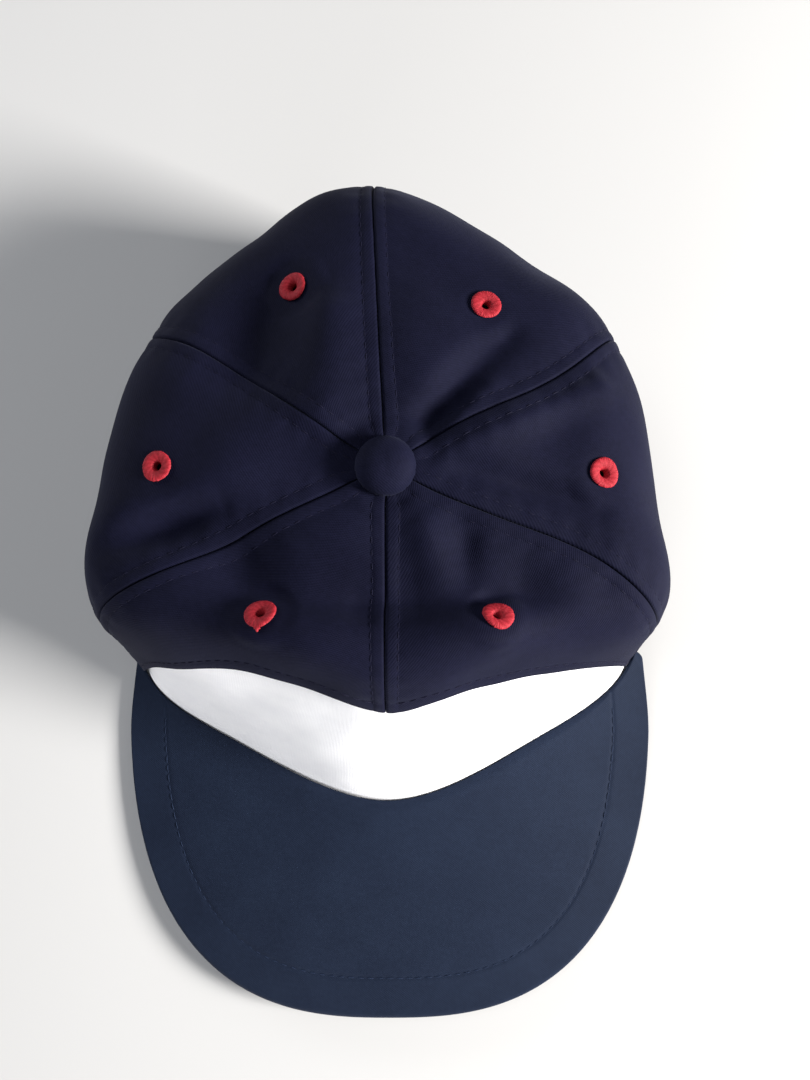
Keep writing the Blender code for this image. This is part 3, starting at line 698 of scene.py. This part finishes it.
def colour_between(tree, shader, factor, low, high):
    """Base colour between low and high by a factor socket."""
    mix = add_node(tree, "Mix", {"Factor": factor}, data_type="RGBA")
    ends = [end for end in [*mix.inputs, *mix.outputs] if end.type == "RGBA"]
    ends[0].default_value, ends[1].default_value = (*low, 1), (*high, 1)
    tree.links.new(ends[2], shader.inputs["Base Color"])


def add_bump(tree, shader, height, depth, strength):
    """Bump of a depth in metres from a height socket."""
    bump = add_node(tree, "Bump", {"Distance": depth, "Strength": strength, "Height": height})
    tree.links.new(bump.outputs["Normal"], shader.inputs["Normal"])


def weave_looks(tree, shader, weave, clouds, colours, between_yarn_shade, gain, depth):
    """Colour by clouds, with painted shade between yarns where the weave is low, and a bump."""
    factor = combined(tree, "MULTIPLY", weighted(tree, weave, between_yarn_shade, 1.0), clouds)
    colour_between(tree, shader, combined(tree, "MULTIPLY", factor, gain), *colours)
    add_bump(tree, shader, weave, depth, 0.8)


def twill_cloth(name, dark, light, roughness, sheen, specular, pitch=0.00062, depth=0.00008):
    """Cotton twill: diagonal ribs crossed by finer yarns, mottled, painted shade between yarns."""
    material, tree, shader = new_material(name, roughness, sheen, (0.55, 0.6, 0.85), specular)
    diagonal, yarns = band_waves(tree, pitch, -52, 1.2), band_waves(tree, 0.62 * pitch, 8, 0.8)
    clouds = weighted(tree, mottle(tree, 0.021, 3), 0.55, mottle(tree, 0.0016, 4))
    weave_looks(tree, shader, weighted(tree, diagonal, 0.65, yarns), clouds, (dark, light),
                between_yarn_shade=0.4, gain=1.7, depth=depth)
    return material


def plain_cloth(name, dark, light, roughness, sheen, specular, pitch=0.00048, depth=0.00007):
    """Plain weave: two sets of yarns crossing, faintly mottled, with painted shade between yarns."""
    material, tree, shader = new_material(name, roughness, sheen, (0.9, 0.9, 1.0), specular)
    warp, weft = (band_waves(tree, pitch, degrees, 0.7) for degrees in (2, 92))
    weave_looks(tree, shader, combined(tree, "MAXIMUM", warp, weft), mottle(tree, 0.012, 4),
                (dark, light), between_yarn_shade=0.5, gain=1.8, depth=depth)
    return material


def sewing_thread(name, dark, light, roughness, sheen, specular, twist, depth=0.00004):
    """Thread with a twist pattern across its length: painted shade between strands, faintly mottled."""
    material, tree, shader = new_material(name, roughness, sheen, light, specular)
    strands = band_waves(tree, twist, 38, 0.6)
    colour_between(tree, shader, weighted(tree, strands, 0.6, mottle(tree, 0.0009, 3)), dark, light)
    add_bump(tree, shader, strands, depth, 0.7)
    return material


def painted_metal(name, colour, roughness):
    """Metal with thin worn paint: faint clouds change how shiny it is."""
    material, tree, shader = new_material(name, roughness, 0, (1, 1, 1), 0.5, metallic=0.8)
    clouds = mottle(tree, 0.002, 3)
    colour_between(tree, shader, clouds, colour, [1.6 * part for part in colour])
    tree.links.new(combined(tree, "MULTIPLY", clouds, 2 * roughness), shader.inputs["Roughness"])
    return material


navy_twill = twill_cloth("navy_twill", (0.0015, 0.0018, 0.0068), (0.0070, 0.0074, 0.0228),
                         roughness=0.74, sheen=0.04, specular=0.06)
button_twill = twill_cloth("button_twill", (0.0017, 0.0020, 0.0072), (0.0074, 0.0078, 0.0234),
                           roughness=0.74, sheen=0.04, specular=0.06, pitch=0.00058)
peak_twill = twill_cloth("peak_twill", (0.0034, 0.0065, 0.0175), (0.0106, 0.0176, 0.0380),
                         roughness=0.70, sheen=0.05, specular=0.10, pitch=0.00055, depth=0.00006)
white_cotton = plain_cloth("white_cotton", (0.84, 0.835, 0.865), (0.96, 0.955, 0.965),
                           roughness=0.80, sheen=0.10, specular=0.2)
navy_thread = sewing_thread("navy_thread", (0.0050, 0.0050, 0.0140), (0.0140, 0.0138, 0.0350),
                            roughness=0.70, sheen=0.05, specular=0.10, twist=0.22)
peak_thread = sewing_thread("peak_thread", (0.0080, 0.0140, 0.0340), (0.0240, 0.0380, 0.0800),
                            roughness=0.65, sheen=0.05, specular=0.12, twist=0.22)
red_thread = sewing_thread("red_thread", (0.26, 0.011, 0.018), (0.44, 0.028, 0.042),
                           roughness=0.60, sheen=0.05, specular=0.15, twist=0.0016)
rivet_metal = painted_metal("rivet_metal", (0.05, 0.05, 0.06), roughness=0.35)


# Crown panels

def panel_columns(width):
    """Places across a panel for each width: at set distances from each seam, which close up where
    it is narrow, and equal steps between."""
    near = NEAR_SEAM * np.minimum(1, NEAR_SEAM_SHARE * width / NEAR_SEAM[-1]) / width
    steps = np.linspace(0, 1, PANEL_MIDDLE_FACES + 1)[1:-1]
    middle = near[:, -1:] + (1 - 2 * near[:, -1:]) * steps
    return np.hstack([near, middle, 1 - near[:, ::-1]])


def down_rows(first, last, edge_radius):
    """Rows down a panel: equal steps, and closer ones on its rolled edge."""
    length = (last - first) * RIB_LENGTH
    main = np.linspace(0, 1, int(length / PANEL_ROW_STEP) + 1)
    rolled = 1 - edge_radius / length * ROLLED_ROWS
    return np.concatenate([main[main < rolled[0] - 0.3 * PANEL_ROW_STEP / length], rolled])


def panel_relief(seam, across, down, width, run, points):
    """A panel's relief: its two seams, and the cloth drawn in round its eyelet."""
    before, after = seams[seam], seams[(seam + 1) % len(seams)]
    past_seat = ease((down - 0.6 * SEAT_SHARE) / (0.5 * SEAT_SHARE))
    relief = seam_relief(across * width, width, run, before["groove_after"])
    relief += seam_relief((1 - across) * width, width, run, after["groove_before"])
    from_ring = np.linalg.norm(points - eyelet_points[seam], axis=-1) - EYELET_WIDTH / 2
    return past_seat * relief - EYELET_PULL * bell(from_ring / EYELET_PULL_REACH)


eyelet_points = [folded_crown(*place) for place in eyelet_places]


def edge_relief(relief, front, from_edge):
    """Relief and thickness near a lower edge with its stitch groove: a hem stands up to its
    stitches and weakens the seams' relief, and the rim's cloth is thicker."""
    if front:
        relief = relief * (1 - HEM_WEAKENS + HEM_WEAKENS * ease(from_edge / HEM_STITCH_UP))
        doubled = ALLOWANCE * (1 - ease((from_edge - HEM_STITCH_UP) / HEM_STITCH_UP + 0.5))
        relief += doubled - HEM_GROOVE * bell((from_edge - HEM_STITCH_UP) / GROOVE_REACH)
        return relief, CLOTH
    relief = relief - RIM_GROOVE * bell((from_edge - RIM_STITCH_UP) / GROOVE_REACH)
    return relief, CLOTH + (RIM_WALL - CLOTH) * ease((RIM_TURN - from_edge) / CLOTH + 0.5)


def stand_on_foot(sheet, foot_height, from_edge):
    """Puts a sheet's last row at its foot's height and keeps the rest above it."""
    sheet[-1, :, 2] = foot_height
    sheet[..., 2] = np.maximum(sheet[..., 2], foot_height + FOOT_RISE * from_edge)


def crown_panel(seam, panel):
    """A twill panel from under the button to the rim or the navy hem: the folded crown with its
    relief, and a wall below it, with the seam allowances inside."""
    front = "front" in panel["place"]
    first = SEAT_SHARE * (STEM_RADIUS + CLEARANCE) / SEAT_REACH
    wall = CLOTH if front else RIM_WALL
    rows = down_rows(first, FRONT_PANEL_END if front else 1, wall / 2)[:, None]
    middle_width = panel_width(np.full(rows.shape, seam + 0.5), first + (1 - first) * rows)
    across = panel_columns(middle_width)
    last = hem_down(seam + across) if front else 1
    down = first + (last - first) * rows + 0 * across
    width = panel_width(seam + 0 * down, down)
    inset = SEAM_GAP / width
    points = folded_crown(seam + inset + (1 - 2 * inset) * across, down)
    normals = crown_normals(seam + across, down)
    run, from_edge = down * RIB_LENGTH, (last - down) * RIB_LENGTH
    relief = panel_relief(seam, across, down, width, run, points)
    relief, thickness = edge_relief(relief, front, from_edge)
    hem_roll = rolled_edge(from_edge, wall / 2)
    past_stitches = np.minimum(across, 1 - across) * width - 1.2 * stitch_reach(width)
    allowance = 2 * ALLOWANCE * (1 - ease(past_stitches / ALLOWANCE_SLOPE))
    allowance *= ease(from_edge / RIM_TURN)
    outer = points + normals * (relief - hem_roll)[..., None]
    inner = points - normals * (thickness - hem_roll + allowance)[..., None]
    if not front:
        for sheet in (outer, inner):
            stand_on_foot(sheet, points[-1, :, 2], from_edge)
    uv = np.stack([(across - 0.5) * width + 0.2 * seam, run], axis=-1)
    kept = open_eyelet_hole(outer, inner, seam)
    mesh = wall_between("panel_" + panel["place"], outer, inner, uv, kept)
    piece = piece_from_mesh(mesh, navy_twill)
    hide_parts("crown_panel_" + panel["place"])


def sum_of_corners(grid):
    """Sum of the four corners of each square of a grid."""
    return grid[:-1, :-1] + grid[1:, 1:] + grid[:-1, 1:] + grid[1:, :-1]


def open_eyelet_hole(outer, inner, seam):
    """Which faces stay round an eyelet's hole, whose edge points go onto its circle."""
    centre = eyelet_points[seam]
    normal = crown_normals(*eyelet_places[seam])
    radius = EYELET_NECK / 2 + CLEARANCE

    def from_axis(sheet):
        along = ((sheet - centre) @ normal)[..., None] * normal
        return along, sheet - centre - along

    along, flat = from_axis(outer)
    distance = np.linalg.norm(flat, axis=-1)
    distance[np.linalg.norm(along, axis=-1) > EYELET_WIDTH / 2] = 1
    removed = sum_of_corners(distance) / 4 < radius
    faces_gone = sum_of_corners(np.pad(removed, 1).astype(int))
    on_edge = (faces_gone > 0) & (faces_gone < 4)
    for sheet in (outer, inner):
        along, flat = from_axis(sheet)
        sheet[on_edge] = (centre + along + radius * unit(flat + 1e-9))[on_edge]
    return ~removed


for seam, panel in enumerate(panels):
    crown_panel(seam, panel)


# Stitching on the crown

def crown_row(row_at, steps):
    """A row on the crown: row_at gives around, down and height at a step."""
    def place(step):
        around, down, height = row_at(step)
        return folded_crown(around, down) + crown_normals(around, down) * np.reshape(height, (-1, 1))

    return row_of_stitches(place, lambda step: crown_normals(*row_at(step)[:2]), steps)


def seam_row(seam, side, groove):
    """The row on one side of a seam, from the button to the rim or the hem, and beside the hem's
    ends to its stitches."""
    def row_at(step):
        run = step * STITCH_PITCH
        down = run / RIB_LENGTH
        width = panel_width(seam + side / 2 + 0 * step, down)
        reach = stitch_reach(width)
        return seam + side * reach / width, down, seam_relief(reach, width, run, groove)

    first = BUTTON_WIDTH / 2 + ROW_FROM_BUTTON
    last = (hem_down(0.0) if seam == 0 else 1) * RIB_LENGTH - ROW_FROM_END
    steps = np.arange(np.ceil(first / STITCH_PITCH), np.floor(last / STITCH_PITCH)) + 0.5
    if (seam, side) in ((1, -1), (5, 1)):
        around, down, height = row_at(steps)
        steps = steps[down < hem_stitches_down(around)]
    return crown_row(row_at, steps)


def hem_stitches_down(around):
    """How far down the stitch row above the hem lies."""
    return hem_down(around) - HEM_STITCH_UP / RIB_LENGTH


def row_across(fine, row_down, height):
    """A row across the panels, at equal steps along its line through fine places."""
    length = length_along(folded_crown(fine, row_down(fine)))

    def row_at(step):
        around = np.interp(step * STITCH_PITCH, length, fine)
        return around, row_down(around), height

    return crown_row(row_at, np.arange(1, int(length[-1] / STITCH_PITCH)))


for seam, row in enumerate(seams):
    rows = [seam_row(seam, -1, row["groove_before"]), seam_row(seam, 1, row["groove_after"])]
    stitching_piece("stitching_" + row["name"], rows, navy_thread, seam)
hem_row = row_across(np.linspace(-HEM_ROW_END, HEM_ROW_END, FINE_ROW), hem_stitches_down,
                     ALLOWANCE / 2 - RIM_GROOVE)
stitching_piece("stitching_hem", [hem_row], navy_thread, 6)
rim_row = row_across(np.linspace(*RIM_ROW_ENDS, 2 * FINE_ROW),
                     lambda around: 0 * around + 1 - RIM_STITCH_UP / RIB_LENGTH, -RIM_GROOVE)
stitching_piece("stitching_rim", [rim_row], navy_thread, 7)


# Front band

def front_band():
    """White cloth from a layer behind the hem down to the peak, coming forward to the crown's
    surface and turning in at its foot."""
    across = np.linspace(-1, 1, BAND_COLUMNS)
    hem = hem_down(across)
    first = hem - BAND_TUCK / RIB_LENGTH
    rows = down_rows(0, BAND_ROWS * PANEL_ROW_STEP / RIB_LENGTH, SEAM_ROLL)
    down = first + (1 - first) * rows[:, None]
    around = (1 - BAND_END_GAP / panel_width(0 * down, down)) * across
    bare = (1 - hem) * RIB_LENGTH
    below_hem = (down - hem) * RIB_LENGTH
    forward = ease(below_hem / np.maximum(bare, CLOTH)) * ease(bare / BAND_FORWARD)
    behind = (CLOTH + CLEARANCE) * (1 - forward)
    surface = folded_crown(around, down)
    normals = crown_normals(around, down)
    pressed = BAND_PRESS * bell(below_hem / BAND_PRESS_REACH)
    from_foot = (1 - down) * RIB_LENGTH
    foot_roll = rolled_edge(from_foot, 0.5 * SEAM_ROLL)
    outer = surface - normals * (behind + pressed + foot_roll)[..., None]
    inner = surface - normals * (behind + CLOTH)[..., None]
    for sheet in (outer, inner):
        stand_on_foot(sheet, surface[-1, :, 2], from_foot)
    uv = np.stack([across * RIB_LENGTH * 0.6 + 0 * down, down * RIB_LENGTH], axis=-1)
    mesh = wall_between("front_band_cloth", outer, inner, uv)
    band = piece_from_mesh(mesh, white_cotton)
    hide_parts("front_band")


front_band()


# Peak

def rim_front_point(around, height):
    """Point a clearance in front of the crown's face near the rim."""
    upper, between, lower = (np.full(around.shape, down) for down in RIM_FACE)
    normal = surface_normals(smooth_crown, around, between)
    upper, lower = smooth_crown(around, upper), smooth_crown(around, lower)
    share = (height - lower[:, 2]) / (upper[:, 2] - lower[:, 2])
    on_face = lower + (upper - lower) * share[:, None]
    flat = unit(normal[:, :2])
    on_face[:, :2] += flat * (CLEARANCE / (normal[:, :2] * flat).sum(axis=1))[:, None]
    return on_face


def peak_outline(around):
    """Superellipse of half the peak's width and its length, seen from above."""
    ends_y = smooth_crown(np.array([PEAK_WRAP]), np.ones(1))[0, 1]
    front_y = smooth_crown(np.zeros(1), np.ones(1))[0, 1] - PEAK_LENGTH
    turn = around / PEAK_WRAP * pi / 2
    power = 2 / PEAK_SQUARENESS
    forward = np.abs(np.cos(turn)) ** power
    half_width = PEAK_HALF_WIDTH * (1 - PEAK_TAPER * ease(1 - forward / PEAK_TAPER_REACH))
    half_width = half_width * (1 - EAR_ROUNDING * np.clip(1 - forward / EAR_ROUNDING, 0, 1) ** 2)
    x = half_width * np.sign(turn) * np.abs(np.sin(turn)) ** power
    y = ends_y + (front_y - ends_y) * forward
    return np.stack([x, y], axis=-1)


def even_around():
    """Values of around at about equal steps along the outline."""
    fine = np.linspace(-PEAK_WRAP, PEAK_WRAP, 6001)
    length = length_along(peak_outline(fine))
    mixed = 0.75 * length / length[-1] + 0.25 * np.linspace(0, 1, len(fine))
    return np.interp(np.linspace(0, 1, PEAK_COLUMNS), mixed, fine)


def peak_height(x, share):
    """Height of the peak's underside at a share of the way from its foot."""
    return np.maximum(arch_height(x, PEAK_ARCH + (PEAK_FRONT_ARCH - PEAK_ARCH) * share), 0)


def peak():
    """Cloth-covered board: rows over its top, round sewn edge and underside as one closed loop,
    carried round the outline with rounded ends."""
    around = even_around()
    half = PEAK_THICKNESS / 2
    edge = peak_outline(around)
    length = np.linalg.norm(edge - rim_front_point(around, half)[:, :2], axis=1)
    zone = np.minimum(PEAK_EDGE_REACH, 0.6 * length)
    middle_share = np.linspace(0, 1, PEAK_MIDDLE_ROWS, endpoint=False)[:, None]
    edge_share = np.linspace(0, 1, PEAK_EDGE_ROWS)[:, None]
    over = np.concatenate([length - (length - zone) * middle_share, zone - (zone - half) * edge_share])
    bend = np.linspace(pi / 2, -pi / 2, PEAK_ROUND_ROWS)[1:-1, None]
    seam_notch = 1 - PEAK_EDGE_SEAM / half * bell(bend / PEAK_SEAM_BEND)
    round_in = half - half * np.cos(bend) * seam_notch + 0 * around
    round_up = half * np.sin(bend) * seam_notch + 0 * around
    under = np.concatenate([half + (zone - half) * edge_share[::4],
                            length - (length - zone) * middle_share[::-2]])
    inward = np.concatenate([over, round_in, under])
    top_roll = rolled_edge(length - over, 0.7 * half)
    up = np.concatenate([half - top_roll, round_up, np.full(under.shape, -half)])
    ear = np.minimum(around + PEAK_WRAP, PEAK_WRAP - around) * length.max()
    up *= np.sqrt(1 - np.clip(1 - ear / half, 0, 1) ** 2) * (1 - EAR_LEAST) + EAR_LEAST
    share = 1 - inward / length
    foot_x = smooth_crown(around, np.ones(around.shape))[:, 0]
    foot = rim_front_point(around, arch_height(foot_x, PEAK_ARCH) + half)[:, :2]
    places = foot + (edge - foot) * share[..., None]
    top = places[:len(over)]
    outline = peak_outline(np.linspace(-PEAK_WRAP, PEAK_WRAP, 1401))
    depth = np.stack([np.linalg.norm(row[:, None] - outline, axis=-1).min(axis=1) for row in top])
    groove = PEAK_STITCH_GROOVE * bell((depth - PEAK_STITCH_IN) / PEAK_GROOVE_REACH)
    swells = np.sin(top / PEAK_SWELL_LENGTHS + (1, 0)).prod(axis=-1)
    up[:len(over)] += PEAK_SWELL * swells * ease(depth / PEAK_SWELL_IN) - groove
    height = peak_height(places[..., 0], share) + half + up
    points = np.concatenate([places, height[..., None]], axis=-1)
    mesh = mesh_from_arrays("peak_cloth", points, looped_faces(points)[..., ::-1], places)
    board = piece_from_mesh(close_ends(mesh), peak_twill, 60)
    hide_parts("peak")


def peak_row():
    """The row inside the peak's edge, where it is clear of the crown."""
    fine = np.linspace(-PEAK_WRAP, PEAK_WRAP, FINE_PEAK)[1:-1]
    outline = peak_outline(fine)
    ahead = unit(np.gradient(outline, axis=0))
    line = outline + np.stack([-ahead[:, 1], ahead[:, 0]], axis=-1) * PEAK_STITCH_IN
    foot = rim_front_point(fine, 0 * fine)[:, :2]
    line = line[line[:, 1] < np.interp(line[:, 0], *foot.T) - PEAK_ROW_CLEAR]

    def place(step):
        x, y = points_along(line, step * STITCH_PITCH).T
        foot_y = np.interp(x, *foot.T)
        share = (foot_y - y) / (foot_y - np.interp(x, *outline.T))
        return np.stack([x, y, peak_height(x, share) + PEAK_THICKNESS - PEAK_STITCH_GROOVE], axis=-1)

    def normal(step):
        x = place(step)[:, 0]
        slope = 2 * PEAK_ARCH * x / PEAK_HALF_WIDTH ** 2
        return unit(np.stack([slope, 0 * x, 1 + 0 * x], axis=-1))

    return row_of_stitches(place, normal, np.arange(1, int(length_along(line)[-1] / STITCH_PITCH)))


peak()
stitching_piece("stitching_peak", [peak_row()], peak_thread, 8)


# Button

def button():
    """Cloth-covered dome: a turned profile with small pleats near its foot."""
    bend = np.linspace(0.02, pi / 2, BUTTON_DOME_ROWS)
    dome_reach = BUTTON_WIDTH / 2 * np.sin(bend) ** 0.9
    dome_height = CLEARANCE + BUTTON_DOME * (BUTTON_SIDE + (1 - BUTTON_SIDE) * np.cos(bend))
    foot_reach, foot_height = np.array(BUTTON_FOOT).T
    reach = np.concatenate([dome_reach, foot_reach * BUTTON_WIDTH / 2])
    height = np.concatenate([dome_height, foot_height * BUTTON_DOME + CLEARANCE])
    turn = np.linspace(0, 2 * pi, BUTTON_COLUMNS, endpoint=False)[:, None]
    pleats = sum(part * np.sin(BUTTON_PLEATS * turn * times + start)
                 for part, times, start in ((0.6, 1, 0.3), (0.4, 1.5, 2.1)))
    near_foot = ease((CLEARANCE + 0.55 * BUTTON_DOME - height) / (0.45 * BUTTON_DOME))
    reach = reach * (1 + PLEAT_DEPTH * pleats * near_foot * (reach > 0.5 * reach.max()))
    start = np.random.default_rng(11).uniform(0, 6)
    uneven = BUTTON_UNEVEN * np.sin(2 * turn + start) * np.sin(pi * reach / reach.max())
    mesh = turned_mesh("button_cover", reach, height + uneven + CROWN_HEIGHT, turn)
    cover = piece_from_mesh(mesh, button_twill, 60)
    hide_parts("button")


def shank():
    """Stem through the crown and rivet head inside it, as one turned profile."""
    top = CROWN_HEIGHT + 0.5 * BUTTON_DOME
    under = CROWN_HEIGHT - CLOTH - CLEARANCE
    reach, height = np.array([
        (AXIS_HOLE, top),
        (STEM_RADIUS, top),
        (STEM_RADIUS, under),
        (RIVET_RADIUS - RIVET_BEVEL, under),
        (RIVET_RADIUS, under - RIVET_BEVEL),
        (RIVET_RADIUS - 2 * RIVET_BEVEL, under - 0.7 * RIVET_THICKNESS),
        (0.5 * RIVET_RADIUS, under - RIVET_THICKNESS),
        (AXIS_HOLE, under - RIVET_THICKNESS),
    ]).T
    turn = np.linspace(0, 2 * pi, SHANK_COLUMNS, endpoint=False)[:, None]
    mesh = turned_mesh("button_shank", reach, height, turn)
    piece_from_mesh(mesh, rivet_metal, 40)


button()
shank()


# Eyelets

def eyelet_section():
    """Rows of reach from the axis, height over the cloth and how strongly the stitches show: over
    the top, through the hole and round the back."""
    hole, outside = EYELET_HOLE / 2, EYELET_WIDTH / 2
    inside, neck = EYELET_BACK_WIDTH / 2, EYELET_NECK / 2
    share = np.linspace(0, 1, 13)
    top = CLEARANCE + EYELET_THREAD * (np.sin(pi * share ** 0.75) ** 0.55) * (1 - 0.25 * share)
    bottom = -CLOTH - CLEARANCE
    top_rows = np.stack([outside + (hole - outside) * share, top, np.ones(13)], axis=-1)
    back_rows = np.array([
        (0.80 * hole, 0.3 * bottom, 0.3),
        (0.62 * hole, bottom, 0.3),
        (0.78 * hole, bottom - 0.5 * EYELET_THREAD, 0.5),
        (0.50 * inside, bottom - 0.8 * EYELET_THREAD, 0.8),
        (0.75 * inside, bottom - 0.75 * EYELET_THREAD, 0.8),
        (0.92 * inside, bottom - 0.45 * EYELET_THREAD, 0.8),
        (inside, bottom, 0.6),
        (neck, bottom, 0),
        (neck, CLEARANCE, 0),
    ])
    return np.vstack([top_rows, back_rows])


def eyelet(seam, panel, seed):
    """Embroidered ring that follows the cloth. Each radial stitch is a rounded ridge of its own
    length, height and slant, and a loose end is a few longer ones."""
    wander = np.random.default_rng(seed)
    around, down = eyelet_places[seam]
    steps = np.array(surface_steps(folded_crown, around, down, RING_STEP)) / (2 * RING_STEP)
    side = unit(steps[0])
    axes = np.array([side, np.cross(side, crown_normals(around, down))])
    count = EYELET_STITCHES * EYELET_STITCH_STEPS
    number = np.arange(count) // EYELET_STITCH_STEPS
    within = (np.arange(count) % EYELET_STITCH_STEPS) / EYELET_STITCH_STEPS
    ridge = np.sin(pi * within) ** 0.6
    length = wander.normal(0, LENGTH_SPREAD, EYELET_STITCHES)[number]
    if panel["eyelet"] == LOOSE_EYELET:
        length += LOOSE_LENGTH * bell((number - LOOSE_AT * EYELET_STITCHES) / LOOSE_WIDTH)
    high = wander.normal(1, HEIGHT_SPREAD, EYELET_STITCHES)[number]
    slant = wander.normal(SLANT, SLANT_SPREAD, EYELET_STITCHES)[number]
    section = eyelet_section()
    reach, over, shows = section.T
    outward = ease((reach - EYELET_HOLE / 2) / (EYELET_WIDTH / 2 - EYELET_HOLE / 2))
    turn = (np.arange(count) / count * 2 * pi)[:, None] + slant[:, None] * outward * (shows > 0)
    grown = reach + (length[:, None] + STITCH_RIDGE * ridge[:, None]) * outward * shows
    away = np.where(over > 0, 1.0, -1.0) * shows
    height = over + away * (STITCH_RIDGE * (ridge * high)[:, None] - 0.4 * STITCH_RIDGE)
    offsets = np.stack([grown * np.cos(turn), grown * np.sin(turn)], axis=-1)
    shares = offsets @ np.linalg.inv(axes @ steps.T).T
    places = around + shares[..., 0], down + shares[..., 1]
    sections = folded_crown(*places) + crown_normals(*places) * height[..., None]
    along = length_along(section[:, :2])
    uv = np.stack(np.broadcast_arrays(along, (number * STITCH_UV_STEP)[:, None]), axis=-1)
    faces = looped_faces(sections, both_ways=True)[..., ::-1]
    mesh = mesh_from_arrays(panel["eyelet"] + "_thread", sections, faces, uv)
    ring = piece_from_mesh(mesh, red_thread, 70)
    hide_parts(panel["eyelet"])


for seam, panel in enumerate(panels):
    eyelet(seam, panel, 20 + seam)


# Floor, light and camera

def pale_floor():
    """A wide plain floor just under the rim."""
    bpy.ops.mesh.primitive_plane_add(size=FLOOR_WIDTH, location=(0, 0, -FLOOR_UNDER))
    floor = bpy.context.object
    floor.name = "floor"
    material, tree, shader = new_material("floor_paint", 0.7, 0, (1, 1, 1), 0.3)
    colour_between(tree, shader, mottle(tree, 0.4, 2), (0.58, 0.575, 0.57), (0.62, 0.615, 0.61))
    floor.data.materials.append(material)


def soft_light(name, place, size, power, colour):
    """A square area light that faces the cap."""
    light = bpy.data.lights.new(name, "AREA")
    light.shape = "SQUARE"
    light.size = size
    light.energy = power
    light.color = colour
    lamp = bpy.data.objects.new(name, light)
    lamp.location = place
    aim = -np.array(place)
    lamp.rotation_euler = (np.arctan2(np.hypot(aim[0], aim[1]), -aim[2]), 0,
                           np.arctan2(aim[1], aim[0]) - pi / 2)
    bpy.context.scene.collection.objects.link(lamp)


def camera():
    """Camera above the cap, tilted a little to the front."""
    data = bpy.data.cameras.new("camera")
    data.sensor_fit = "VERTICAL"
    data.sensor_height = CAMERA_SENSOR
    data.sensor_width = CAMERA_SENSOR * CAMERA_ASPECT
    data.lens = CAMERA_LENS
    data.clip_start = 0.01
    seen = bpy.data.objects.new("camera", data)
    seen.location = AXIS + np.array(CAMERA_FROM_AXIS)
    seen.rotation_euler = (CAMERA_TILT, 0, 0)
    bpy.context.scene.collection.objects.link(seen)
    bpy.context.scene.camera = seen


pale_floor()
for row in LIGHT_ROWS:
    soft_light(*row)
camera()

world = bpy.data.worlds.new("studio")
world.use_nodes = True
background = world.node_tree.nodes["Background"]
background.inputs["Color"].default_value = WORLD_COLOUR
background.inputs["Strength"].default_value = WORLD_STRENGTH
bpy.context.scene.world = world
bpy.context.scene.view_settings.view_transform = "Standard"
